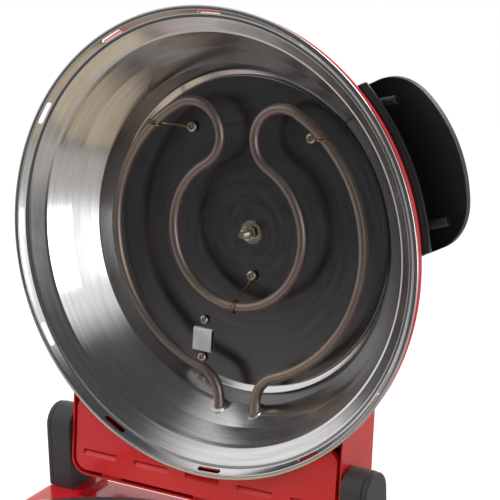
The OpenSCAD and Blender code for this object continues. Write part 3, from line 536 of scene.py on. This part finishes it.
def shapeGrip(material):
    look = gripLook
    plate = gripBand(0, look["thick"])
    trimGrip(plate, 0)
    lip = gripBand(-look["lipSink"], look["thick"] + look["lipDepth"])
    trimGrip(lip, look["lipInset"])
    trimGrip(lip, look["lip"], "DIFFERENCE")
    strip = spinSection(roundCorners(look["strip"], 3), look["steps"])
    trimGrip(strip, look["stripInset"])
    for part in (plate, lip):
        applyBoolean(part, spinSection(roundCorners(look["inside"]), look["steps"]), "DIFFERENCE")
    parts = [plate, lip, strip]
    for start, end in look["bosses"]:
        along = Vector(end) - Vector(start)
        long = along.length
        middle = (Vector(start) + Vector(end)) / 2
        at = moved(*middle, look["bossDepth"]) @ facing(along.to_3d())
        boss = addRod(look["bossWidth"], long, Matrix.Identity(4))
        openEdit(boss, "EDGE", lambda edge, points: all(point.z > long * 0.49 * mm for point in points))
        bpy.ops.mesh.bevel(offset=look["bossEdge"] * mm, segments=3, profile=0.5)
        closeEdit()
        hole = addRod(look["bossHole"], look["bossHoleDepth"], moved(0, 0, long / 2))
        applyBoolean(boss, hole, "DIFFERENCE")
        parts.append(placeWhole(boss, at))
    for part in parts:
        smoothPiece(part, 30)
        placeWhole(part, gripPlace)
    finishPiece(parts, "mouldedGrip", material, "lid", "handle")
    print("grip shaped")


# The strap of the thermal cut-out: a bridge of bent sheet whose legs pass through the plate

upsideDown = Matrix.Diagonal((1, 1, -1, 1))
strapLook = {
    "width": 16.4,
    "section": [(-9.4, -0.6), (-8.9, 2.4, 1.2), (8.9, 2.4, 1.2), (9.4, -0.6)],
    "sheet": 1.1,
    "turn": 26.4,
    "radius": 99.3,
    "twist": 3.8,
    "plateDepth": 62.8,
}


def shapeStrap(material):
    look = strapLook
    strap = drawOutline(sheetSection(roundCorners(look["section"], 4), -look["sheet"]), True, filled=True)
    bpy.ops.mesh.extrude_region_move(TRANSFORM_OT_translate={"value": (0, look["width"] * mm, 0)})
    bpy.ops.mesh.select_all(action="SELECT")
    bpy.ops.transform.translate(value=(0, -look["width"] / 2 * mm, 0))
    bpy.ops.mesh.normals_make_consistent(inside=False)
    closeEdit()
    smoothPiece(strap)
    turn = math.radians(look["turn"])
    at = moved(-look["radius"] * math.sin(turn), look["radius"] * math.cos(turn), look["plateDepth"])
    placeWhole(strap, bowlRim @ at @ turned(look["twist"] + 90, "Z") @ upsideDown)
    strap.data.flip_normals()
    finishPiece([strap], "bentStrap", material, "lid", "cutout_strap")
    print("strap shaped")


# The frames of the two heaters: their tubes' middle plane, with z towards the plate or the floor behind

heaterPlaces = {
    "lidTubeDepth": 42.3,
    "baseTubeDepth": 33.5,
    "baseRimHeight": 100.0,
    "lowerTurn": -117.7,
}
lidOut = (openLid.to_3x3() @ Vector((0, 0, -1))).normalized()
bowlPlace = bowlRim @ moved(0, 0, heaterPlaces["lidTubeDepth"])
baseTubeHeight = heaterPlaces["baseRimHeight"] - heaterPlaces["baseTubeDepth"]
basePlace = moved(0, 0, baseTubeHeight) @ upsideDown @ turned(heaterPlaces["lowerTurn"], "Z")


# The outermost points of a node's separate solids along a direction, one for each solid
def solidTops(node, direction):
    selectOnly(copyTo(nodes[node], Matrix.Identity(4)))
    bpy.ops.object.mode_set(mode="EDIT")
    bpy.ops.mesh.select_all(action="SELECT")
    bpy.ops.mesh.remove_doubles(threshold=0.01 * mm)
    bpy.ops.mesh.separate(type="LOOSE")
    closeEdit()
    tops = []
    for solid in list(bpy.context.selected_objects):
        points = [vertex.co for vertex in solid.data.vertices]
        high = max(point.dot(direction) for point in points)
        rim = [point for point in points if point.dot(direction) > high - 0.02 * mm]
        tops.append(sum(rim, Vector()) / len(rim))
        bpy.data.objects.remove(solid)
    return tops


# Pan-head screws with a cross recess. All but the turn from one screw to the next is a share of the head.

screwLook = {
    "roundness": 0.8,
    "slotWidth": 0.17,
    "slotLength": 0.62,
    "slotDepth": 0.62,
    "slotTaper": 0.55,
    "turnEach": 37,
}


def shapeScrew(headWidth, headHeight, shankWidth, length):
    look = screwLook
    screw = addCylinder(headWidth / 2, headHeight, -headHeight / 2)
    openEdit(screw, "FACE", lambda face, points: face.normal.z < -0.9)
    bpy.ops.mesh.inset(thickness=(headWidth - shankWidth) / 2)
    bpy.ops.mesh.extrude_region_move(TRANSFORM_OT_translate={"value": (0, 0, -length)})
    closeEdit()
    openEdit(screw, "EDGE", lambda edge, points: all(point.z > -0.01 * mm for point in points))
    bpy.ops.mesh.bevel(offset=headHeight * look["roundness"], segments=5, profile=0.5)
    closeEdit()
    for turn in (0, 90):
        clearSelection()
        bpy.ops.mesh.primitive_cube_add(size=1, location=(0, 0, 0), rotation=(0, 0, math.radians(turn)))
        cutter = bpy.context.object
        cutter.scale = (headWidth * look["slotLength"], headWidth * look["slotWidth"],
                        2 * headHeight * look["slotDepth"])
        bpy.ops.object.transform_apply(location=True, rotation=True, scale=True)
        openEdit(cutter, "FACE", lambda face, points: face.normal.z < -0.9)
        bpy.ops.transform.resize(value=(look["slotTaper"], look["slotTaper"], 1))
        closeEdit()
        applyBoolean(screw, cutter, "DIFFERENCE")
    smoothPiece(screw)
    return screw


screwKinds = [
    # piece, node, body, outward direction, head width, head height, shank width, length, first turn
    ("clipScrews", "upper_screws", "lid", lidOut, 8.4, 2.4, 3.4, 5, 12),
    ("strapScrews", "strap_screws", "lid", lidOut, 7.4, 2.2, 3.4, 4.4, 25),
    ("lowerClipScrews", "lower_screws", "base", Vector((0, 0, 1)), 8.4, 2.4, 3.4, 5, 40),
    ("panelScrews", "panel_screws", "base", knobAxis, 5.6, 1.5, 3, 12, 8),
]


def placeScrews(material):
    for name, node, body, direction, headWidth, headHeight, shankWidth, length, turn in screwKinds:
        master = shapeScrew(headWidth * mm, headHeight * mm, shankWidth * mm, length * mm)
        copies = []
        for count, top in enumerate(solidTops(node, direction)):
            slots = turned(turn + screwLook["turnEach"] * count, "Z")
            copies.append(copyTo(master, Matrix.Translation(top) @ facing(direction) @ slots))
        bpy.data.objects.remove(master)
        finishPiece(copies, name, material, body, node)
    print("screws placed")


# The middle bolt of the heat plate: a threaded end and a chamfered nut

boltLook = {
    "width": 6.0,
    "pitch": 1.0,
    "shown": 9.5,
    "depth": 0.55,
    "tip": 0.8,
    "nutWidth": 10.0,
    "nutHeight": 5.0,
    "nutRound": 11.7,
    "nutEdge": 0.8,
    "nutTurn": 11,
}


# The thread is shaped as rings, and the plain shank below it makes up the full length
def shapeBolt(full):
    look = boltLook
    width, pitch, length, depth = [look[key] * mm for key in ("width", "pitch", "shown", "depth")]
    bolt = addCylinder(width / 2, length, -length / 2, 32)
    openEdit(bolt, "EDGE", lambda edge, points: abs(points[0].z - points[1].z) > length * 0.9)
    bpy.ops.mesh.subdivide(number_cuts=int(2 * length / pitch) - 1)
    closeEdit()
    step = pitch / 2
    openEdit(bolt, "EDGE", lambda edge, points: abs(points[0].z - points[1].z) < 0.01 * mm
             and round(-points[0].z / step) % 2 == 1)
    narrow = 1 - 2 * depth / width
    bpy.ops.transform.resize(value=(narrow, narrow, 1))
    closeEdit()
    openEdit(bolt, "FACE", lambda face, points: face.normal.z > 0.9)
    bpy.ops.transform.resize(value=(look["tip"], look["tip"], 1))
    closeEdit()
    openEdit(bolt, "FACE", lambda face, points: face.normal.z < -0.9)
    bpy.ops.mesh.extrude_region_move(TRANSFORM_OT_translate={"value": (0, 0, length - full)})
    closeEdit()
    smoothPiece(bolt, 30)
    return bolt


def shapeNut():
    look = boltLook
    width, height, bore, around, chamfer = [
        look[key] * mm for key in ("nutWidth", "nutHeight", "width", "nutRound", "nutEdge")]
    nut = addCylinder(width / math.sqrt(3), height, -height / 2, 6)
    dome = addCylinder(around / 2, height, -height / 2, 64)
    openEdit(dome, "EDGE", lambda edge, points: abs(points[0].z - points[1].z) < 0.01 * mm)
    bpy.ops.mesh.bevel(offset=chamfer, segments=3, profile=0.5)
    closeEdit()
    applyBoolean(nut, dome, "INTERSECT")
    applyBoolean(nut, addCylinder(bore / 2, height * 2, -height / 2, 32), "DIFFERENCE")
    smoothPiece(nut, 25)
    return nut


def placeBolt(material):
    low, high = solidTops("centre_stud", lidOut)[0], solidTops("centre_stud", -lidOut)[0]
    bolt = placeWhole(shapeBolt((low - high).length), Matrix.Translation(low) @ facing(lidOut))
    finishPiece([bolt], "middleBolt", material, "lid", "centre_stud")
    top = Matrix.Translation(solidTops("centre_nut", lidOut)[0])
    nut = placeWhole(shapeNut(), top @ facing(lidOut) @ turned(boltLook["nutTurn"], "Z"))
    finishPiece([nut], "middleNut", material, "lid", "centre_nut")
    print("middle bolt placed")


# Wire clips, bent from one length: an eye round the screw, a leg, and a wrap round the heater tube

clipLook = {
    "wire": 1.6,
    "tube": 8.0,
    "drop": 20.5,
    "eye": 2.75,
    "eyeStart": 205,
    "eyeSweep": 310,
    "eyeRise": 0.4,
    "fromEye": [(-5.2, 1.5, -0.9), (-7.6, 0.9, -3.6)],  # along the clip, sideways and in depth
    "toTube": [(5.0, 0.2, 7.6), (2.2, -0.2, 2.6)],
    "gap": 0.08,
    "turns": 1.42,
    "pitch": 1.9,
    "start": -0.6,
    "sag": 0.3,
}
clipSpots = [
    # on the tube, at the screw, which side the wire leaves the eye, in the frame of the heater
    ((74.03, -81.36), (53.03, -76.46), -1),
    ((-74.03, -81.36), (-53.03, -76.46), 1),
    ((-1.5, 54.37), (1.0, 33.37), -1),
]


def clipPath(onTube, atScrew, hand):
    look = clipLook
    onTube, atScrew = Vector(onTube), Vector(atScrew)
    toScrew = (atScrew - onTube).normalized()
    along = Vector((-toScrew.y, toScrew.x)) * hand
    span = (atScrew - onTube).length
    eyeDepth = look["drop"] - look["wire"] / 2
    points = []

    def put(reach, offset, depth):
        flat = onTube + toScrew * reach + along * offset
        points.append((flat.x, flat.y, depth))

    eyeSteps = 18
    for step in range(eyeSteps + 1):
        angle = math.radians(look["eyeStart"] + look["eyeSweep"] * step / eyeSteps)
        put(span + look["eye"] * math.cos(angle), look["eye"] * math.sin(angle),
            eyeDepth - look["eyeRise"] * step / eyeSteps)
    ring = look["tube"] / 2 + look["wire"] / 2 + look["gap"]
    for reach, offset, depth in look["fromEye"]:
        put(span + reach, offset, eyeDepth + depth)
    for reach, offset, depth in look["toTube"]:
        put(ring + reach, offset, depth)
    wrapSteps = int(26 * look["turns"])
    for step in range(wrapSteps + 1):
        turn = look["turns"] * step / wrapSteps
        angle = 2 * math.pi * turn
        put(ring * math.cos(angle), look["pitch"] * turn + look["start"],
            look["sag"] * math.cos(angle) - ring * math.sin(angle))
    return points


def bendWire(points, width):
    clearSelection()
    bpy.ops.curve.primitive_nurbs_path_add(location=(0, 0, 0))
    curve = bpy.context.object
    spline = curve.data.splines[0]
    spline.points.add(len(points) - len(spline.points))
    for spot, point in zip(spline.points, points):
        spot.co = (*point, 1)
    spline.order_u = 4
    spline.use_endpoint_u = True
    spline.resolution_u = 3
    curve.data.bevel_depth = width / 2
    curve.data.bevel_resolution = 3
    curve.data.use_fill_caps = True
    selectOnly(curve)
    bpy.ops.object.convert(target="MESH")
    wire = bpy.context.object
    smoothPiece(wire, 60)
    return wire


def placeClips(material):
    for name, node, body, place in (("wireClips", "upper_clips", "lid", bowlPlace),
                                    ("lowerWireClips", "lower_clips", "base", basePlace)):
        wires = []
        for onTube, atScrew, hand in clipSpots:
            path = [Vector(point) * mm for point in clipPath(onTube, atScrew, hand)]
            wires.append(placeWhole(bendWire(path, clipLook["wire"] * mm), place))
            if place.determinant() < 0:
                wires[-1].data.flip_normals()
        finishPiece(wires, name, material, body, node)
    print("wire clips placed")


# Finishes

redEnamel = {
    "colour": (0.66, 0.014, 0.020, 1),
    "deep": (0.54, 0.009, 0.013, 1),
    "roughness": (0.16, 0.28),
    "coat": 0.4,
    "coatRoughness": 0.06,
    "edge": 0.0006,
}


def paintRed():
    look = redEnamel
    material, tree, shader, place = newMaterial("redEnamel", Coat_Weight=look["coat"],
                                                Coat_Roughness=look["coatRoughness"])
    clouds = spread(tree, addNoise(tree, place, 9), 0, 1, 0.3, 0.7)
    setColour(tree, shader, mixColours(tree, clouds, look["deep"], look["colour"]))
    setRoughness(tree, shader, spread(tree, addNoise(tree, place, 40), *look["roughness"]))
    setBump(tree, shader, addNoise(tree, place, 700), 0.12, 0.0004, look["edge"])
    return material


brightSteel = {
    "colour": (0.74, 0.735, 0.735, 1),
    "dull": (0.64, 0.635, 0.63, 1),
    "roughness": (0.12, 0.22),
    "relief": 0.25,
}
darkPlate = {
    "colour": (0.20, 0.195, 0.20, 1),
    "dull": (0.17, 0.166, 0.17, 1),
    "roughness": (0.20, 0.27),
    "relief": 0.08,
}


def turnSteel(name, look, lidSide):
    material, tree, shader, place = newMaterial(name, Metallic=1.0)
    if lidSide:
        place = aboutLid(tree, place)
    fine = addNoise(tree, turnedLines(tree, place, 2600, 3), 1.0, 3)
    broad = addNoise(tree, turnedLines(tree, place, 260, 2), 1.0, 2)
    lines = spread(tree, fine, 0, 1, 0.35, 0.65)
    setColour(tree, shader, mixColours(tree, lines, look["dull"], look["colour"]))
    setRoughness(tree, shader, spread(tree, broad, *look["roughness"], 0.3, 0.7))
    setBump(tree, shader, addMath(tree, "ADD", fine, broad), look["relief"], 0.00006)
    return material


heaterTint = {
    "brown": (0.29, 0.225, 0.19, 1),
    "purple": (0.25, 0.19, 0.195, 1),
    "olive": (0.31, 0.265, 0.22, 1),
    "metallic": 0.85,
    "roughness": (0.28, 0.46),
}


def tintTube():
    material, tree, shader, place = newMaterial("heaterTube", Metallic=heaterTint["metallic"])
    long = addNoise(tree, place, 16, 1)
    short = addNoise(tree, place, 420, 3)
    tint = mixColours(tree, spread(tree, long, 0, 1, 0.38, 0.62), heaterTint["olive"], heaterTint["purple"])
    tint = mixColours(tree, spread(tree, short, 0, 0.7, 0.35, 0.7), tint, heaterTint["brown"])
    setColour(tree, shader, tint)
    setRoughness(tree, shader, spread(tree, short, *heaterTint["roughness"]))
    setBump(tree, shader, short, 0.2, 0.0002)
    return material


metals = {
    # finish: two colours that it clouds between, roughness, how fine the clouds are, how metallic
    "bronzeWire": ((0.30, 0.20, 0.12, 1), (0.42, 0.29, 0.18, 1), 0.34, 300, 1.0),
    "yellowZinc": ((0.66, 0.60, 0.44, 1), (0.62, 0.58, 0.50, 1), 0.24, 260, 1.0),
    "zincSheet": ((0.55, 0.56, 0.57, 1), (0.47, 0.48, 0.50, 1), 0.4, 60, 1.0),
    "strapSteel": ((0.90, 0.90, 0.91, 1), (0.76, 0.76, 0.78, 1), 0.4, 90, 0.45),
    "groundSteel": ((0.60, 0.60, 0.61, 1), (0.52, 0.52, 0.53, 1), 0.26, 200, 1.0),
    "sinteredBronze": ((0.50, 0.34, 0.16, 1), (0.40, 0.27, 0.13, 1), 0.4, 500, 1.0),
    "copper": ((0.60, 0.30, 0.19, 1), (0.50, 0.26, 0.17, 1), 0.3, 120, 1.0),
}


def plainMetal(name):
    colour, other, rough, spots, metallic = metals[name]
    material, tree, shader, place = newMaterial(name, Metallic=metallic)
    cloud = addNoise(tree, place, spots, 3)
    setColour(tree, shader, mixColours(tree, spread(tree, cloud, 0, 1, 0.35, 0.65), colour, other))
    setRoughness(tree, shader, spread(tree, cloud, rough * 0.75, rough * 1.25, 0.3, 0.7))
    setBump(tree, shader, addNoise(tree, place, spots * 4), 0.15, 0.0001)
    return material


plastics = {
    # finish: colour, roughness, how fine the grain is, its depth
    "armPlastic": ((0.045, 0.045, 0.048, 1), 0.5, 1400, 0.00008),
    # The grip's copy of the arms' black plastic is darker: painted shade for the grip's underside, which
    # faces away from the light
    "shadedGripPlastic": ((0.012, 0.012, 0.014, 1), 0.42, 1600, 0.00006),
    "footRubber": ((0.02, 0.02, 0.02, 1), 0.75, 900, 0.0001),
}


def grainedPlastic(name):
    colour, rough, grain, depth = plastics[name]
    material, tree, shader, place = newMaterial(name)
    clouds = addNoise(tree, place, 30, 2)
    darker = tuple(value * 0.8 for value in colour[:3]) + (1,)
    setColour(tree, shader, mixColours(tree, clouds, colour, darker))
    setRoughness(tree, shader, spread(tree, clouds, rough - 0.05, rough + 0.05))
    skin = addNode(tree, "ShaderNodeTexVoronoi", [("Vector", place)], [("Scale", grain)]).outputs[0]
    setBump(tree, shader, skin, 0.5, depth, 0.0007)
    return material


stoneLook = {
    "colours": ((0.60, 0.50, 0.37, 1), (0.68, 0.59, 0.45, 1)),
    "grains": (0.45, 0.35, 0.25, 1),
    "specks": (0.25, 0.19, 0.14, 1),
    "roughness": 0.85,
    "edge": 0.001,
}


def bakeStone():
    look = stoneLook
    material, tree, shader, place = newMaterial("bakingStone", Roughness=look["roughness"])
    fine = addNoise(tree, place, 900, 4, 0.7)
    broad = addNoise(tree, place, 14, 3)
    specks = addNode(tree, "ShaderNodeTexVoronoi", [("Vector", place)], [("Scale", 420)]).outputs[0]
    colour = mixColours(tree, spread(tree, broad, 0, 1, 0.35, 0.65), *look["colours"])
    colour = mixColours(tree, spread(tree, fine, 0, 0.5, 0.4, 0.75), colour, look["grains"])
    colour = mixColours(tree, spread(tree, specks, 0.7, 0, 0.05, 0.16), colour, look["specks"])
    setColour(tree, shader, colour)
    setBump(tree, shader, fine, 0.5, 0.0005, look["edge"])
    return material


woolLook = {"shade": (0.50, 0.45, 0.32, 1), "light": (0.80, 0.76, 0.62, 1), "fibres": 160, "tangle": 2.5}


def softWool():
    look = woolLook
    material, tree, shader, place = newMaterial("mineralWool", Roughness=1.0)
    fibres = addNode(tree, "ShaderNodeTexNoise", [("Vector", place)],
                     [("Scale", look["fibres"]), ("Detail", 5), ("Distortion", look["tangle"])]).outputs[0]
    setColour(tree, shader, mixColours(tree, fibres, look["shade"], look["light"]))
    setBump(tree, shader, fibres, 1.0, 0.002)
    return material


ceramicLook = {
    "shade": (0.78, 0.76, 0.70, 1),
    "light": (0.86, 0.84, 0.79, 1),
    "roughness": 0.35,
    "edge": 0.0004,
}


def glazeCeramic():
    look = ceramicLook
    material, tree, shader, place = newMaterial("ceramic", Roughness=look["roughness"])
    setColour(tree, shader, mixColours(tree, addNoise(tree, place, 300, 4), look["shade"], look["light"]))
    setBump(tree, shader, addNoise(tree, place, 900), 0.2, 0.0002, look["edge"])
    return material


lensLook = {"shade": (0.70, 0.05, 0.02, 1), "light": (0.85, 0.12, 0.03, 1), "clear": 0.35, "ribs": 320}


def lampRed():
    look = lensLook
    material, tree, shader, place = newMaterial("lampRed", Roughness=0.12, Transmission_Weight=look["clear"],
                                                IOR=1.5, Coat_Weight=0.3)
    setColour(tree, shader, mixColours(tree, addNoise(tree, place, 120), look["shade"], look["light"]))
    ribs = addNode(tree, "ShaderNodeTexWave", [("Vector", place)], [("Scale", look["ribs"])]).outputs[0]
    setBump(tree, shader, ribs, 0.3, 0.0004)
    return material


def finishNodes():
    red = paintRed()
    lidSteel = turnSteel("lidSteel", brightSteel, True)
    baseSteel = turnSteel("baseSteel", brightSteel, False)
    plate = turnSteel("heatPlate", darkPlate, True)
    tube = tintTube()
    wire, zincYellow, zincSheet, strapSteel = [
        plainMetal(name) for name in ("bronzeWire", "yellowZinc", "zincSheet", "strapSteel")]
    groundSteel, bronze, copper = [plainMetal(name) for name in ("groundSteel", "sinteredBronze", "copper")]
    arms, grip, rubber = [grainedPlastic(name) for name in ("armPlastic", "shadedGripPlastic", "footRubber")]
    ceramic = glazeCeramic()
    worn = {
        red: ["base_shell", "lid_shell", "hinge_box", "hinge_cover", "cover_rivets"],
        lidSteel: ["lid_bowl", "upper_ferrules", "cutout_strap"],
        baseSteel: ["base_bowl", "lower_ferrules"],
        plate: ["heat_plate"],
        tube: ["upper_heater", "lower_heater"],
        wire: ["upper_clips", "lower_clips"],
        zincYellow: ["upper_screws", "lower_screws", "strap_screws", "centre_stud", "centre_nut",
                     "centre_washer", "centre_spacer", "bottom_screws", "arm_bolts", "panel_screws",
                     "handle_screws"],
        zincSheet: ["bottom_cover"],
        groundSteel: ["hinge_pins", "pin_clips", "knob_shaft"],
        bronze: ["hinge_bushes"],
        copper: ["thermostat_bulb"],
        arms: ["left_arm", "right_arm", "left_arm_cover", "right_arm_cover"],
        # The grip and the control parts take the darker copy of the black plastic, whose colour is painted
        # shade
        grip: ["handle", "handle_washers", "control_box", "control_panel", "knob", "cord_gland"],
        rubber: ["foot_ring", "rear_feet"],
        ceramic: ["lower_tube_ends", "upper_tube_ends", "lamp_holder", "thermostat",
                  "terminal_block"],
        bakeStone(): ["stone"],
        softWool(): ["lid_insulation"],
        lampRed(): ["lamp_lens"],
    }
    left = set(nodes)
    for material, names in worn.items():
        for name in names:
            nodes[name].data.materials.clear()
            nodes[name].data.materials.append(material)
            left.discard(name)
    print("finishes set, nodes without one:", sorted(left))
    return {"red": red, "bowl": lidSteel, "grip": grip, "strap": strapSteel, "zinc": zincYellow,
            "wire": wire}


finishes = finishNodes()
shapeBowl(finishes["bowl"])
shapeDome(finishes["red"])
shapeGrip(finishes["grip"])
shapeStrap(finishes["strap"])
placeScrews(finishes["zinc"])
placeBolt(finishes["zinc"])
placeClips(finishes["wire"])

# Studio

studio = {
    "floorSize": 14.0,
    "shadowReach": (0.75, 1.6),  # the floor fades into the white backdrop between these distances
    "floorColour": (0.80, 0.80, 0.80, 1),
    "floorInMetal": (0.46, 0.44, 0.42, 1),
    "floorLift": 0.24,
    "roomLight": 0.7,
    # What metal mirrors of the room, which is dark but for three lights: the white backdrop, a tall light
    # at the right that ends below sideTop, and a wall at the left that the key lamp lights. Each faces a
    # direction, and fades between the two cosines of its edge.
    "darkRoom": (0.07, 0.07, 0.075, 1),
    "backdropFaces": (0.0, 1.0, 0.1),
    "backdropEdge": (0.17, 0.29),
    "sideFaces": (0.94, -0.342, 0.0),
    "sideEdge": (0.86, 0.95),
    "sideTop": (0.58, 0.78),
    "glow": (0.98, 0.96, 0.96, 1),
    "glowFaces": (-0.853, -0.229, 0.469),
    "glowEdge": (0.66, 0.88),
    "lamps": [
        # name, place, aimed at, width, height, watts, whether metal mirrors it
        ("keyLamp", (-2.1, -0.3, 1.7), (0, 0.1, 0.25), 1.3, 1.6, 42, False),
        ("sideLamp", (2.3, -0.65, 0.6), (0, 0.2, 0.3), 0.45, 1.5, 8, True),
        ("backLamp", (0.5, 2.4, 1.7), (0, 0.2, 0.3), 1.6, 1.0, 22, True),
    ],
}


def rayKinds(tree):
    rays = addNode(tree, "ShaderNodeLightPath")
    seen = addMath(tree, "MAXIMUM", rays.outputs["Is Camera Ray"], rays.outputs["Is Transmission Ray"])
    return seen, rays.outputs["Is Glossy Ray"]


def dressWorld():
    world = bpy.data.worlds.new("studio")
    world.use_nodes = True
    scene.world = world
    tree = world.node_tree
    seen, mirrored = rayKinds(tree)
    room = tree.nodes["Background"]
    room.inputs["Color"].default_value = (1, 1, 1, 1)
    room.inputs["Strength"].default_value = studio["roomLight"]
    backdrop = addNode(tree, "ShaderNodeBackground", values=[("Color", (1, 1, 1, 1)), ("Strength", 1.0)])
    way = addNode(tree, "ShaderNodeTexCoord").outputs["Generated"]
    height = addNode(tree, "ShaderNodeSeparateXYZ", [(0, way)]).outputs[2]
    flat = addVectorMath(tree, "NORMALIZE", addVectorMath(tree, "MULTIPLY", way, (1, 1, 0)))

    def brightness(direction, faces, edge):
        cosine = addVectorMath(tree, "DOT_PRODUCT", direction, studio[faces])
        return spread(tree, cosine, 0, 1, *studio[edge])

    behind = brightness(way, "backdropFaces", "backdropEdge")
    beside = addMath(tree, "MULTIPLY", brightness(flat, "sideFaces", "sideEdge"),
                     spread(tree, height, 1, 0, *studio["sideTop"]))
    glow = brightness(way, "glowFaces", "glowEdge")
    colour = mixColours(tree, glow, studio["darkRoom"], studio["glow"])
    colour = mixColours(tree, addMath(tree, "MAXIMUM", behind, beside), colour, (1, 1, 1, 1))
    shown = addNode(tree, "ShaderNodeBackground", [("Color", colour)], [("Strength", 1.0)])
    lit = addNode(tree, "ShaderNodeMixShader", [(0, mirrored), (1, room.outputs[0]), (2, shown.outputs[0])])
    mix = addNode(tree, "ShaderNodeMixShader", [(0, seen), (1, lit.outputs[0]), (2, backdrop.outputs[0])])
    tree.links.new(mix.outputs[0], tree.nodes["World Output"].inputs["Surface"])


def placeLamps():
    for name, place, target, width, height, watts, mirrored in studio["lamps"]:
        data = bpy.data.lights.new(name, "AREA")
        data.shape = "RECTANGLE"
        data.size = width
        data.size_y = height
        data.energy = watts
        lamp = bpy.data.objects.new(name, data)
        scene.collection.objects.link(lamp)
        lamp.location = place
        lamp.visible_glossy = mirrored
        lamp.rotation_euler = (Vector(target) - Vector(place)).to_track_quat("-Z", "Y").to_euler()


def layFloor():
    clearSelection()
    bpy.ops.mesh.primitive_plane_add(size=studio["floorSize"], location=(0, 0, 0))
    floor = bpy.context.object
    floor.name = "floor"
    material, tree, shader, place = newMaterial("floorPaint", Roughness=0.7)
    seen, mirrored = rayKinds(tree)
    setColour(tree, shader, mixColours(tree, mirrored, studio["floorColour"], studio["floorInMetal"]))
    # Only the camera sees the lift, which whitens the floor round the object's shadow
    shader.inputs["Emission Color"].default_value = (1, 1, 1, 1)
    tree.links.new(addMath(tree, "MULTIPLY", seen, studio["floorLift"]), shader.inputs["Emission Strength"])
    far = spread(tree, addVectorMath(tree, "LENGTH", place), 0, 1, *studio["shadowReach"])
    white = addNode(tree, "ShaderNodeEmission", values=[("Color", (1, 1, 1, 1)), ("Strength", 1.0)])
    mix = addNode(tree, "ShaderNodeMixShader",
                  [(0, addMath(tree, "MULTIPLY", far, seen)), (1, shader.outputs[0]), (2, white.outputs[0])])
    # What mirrors in the metal from farther away is the room, not the floor
    clear = addNode(tree, "ShaderNodeBsdfTransparent")
    away = addMath(tree, "MULTIPLY", far, mirrored)
    mix = addNode(tree, "ShaderNodeMixShader", [(0, away), (1, mix.outputs[0]), (2, clear.outputs[0])])
    tree.links.new(mix.outputs[0], tree.nodes["Material Output"].inputs["Surface"])
    floor.data.materials.append(material)


dressWorld()
placeLamps()
layFloor()
scene.view_settings.view_transform = "Standard"
print("studio built")
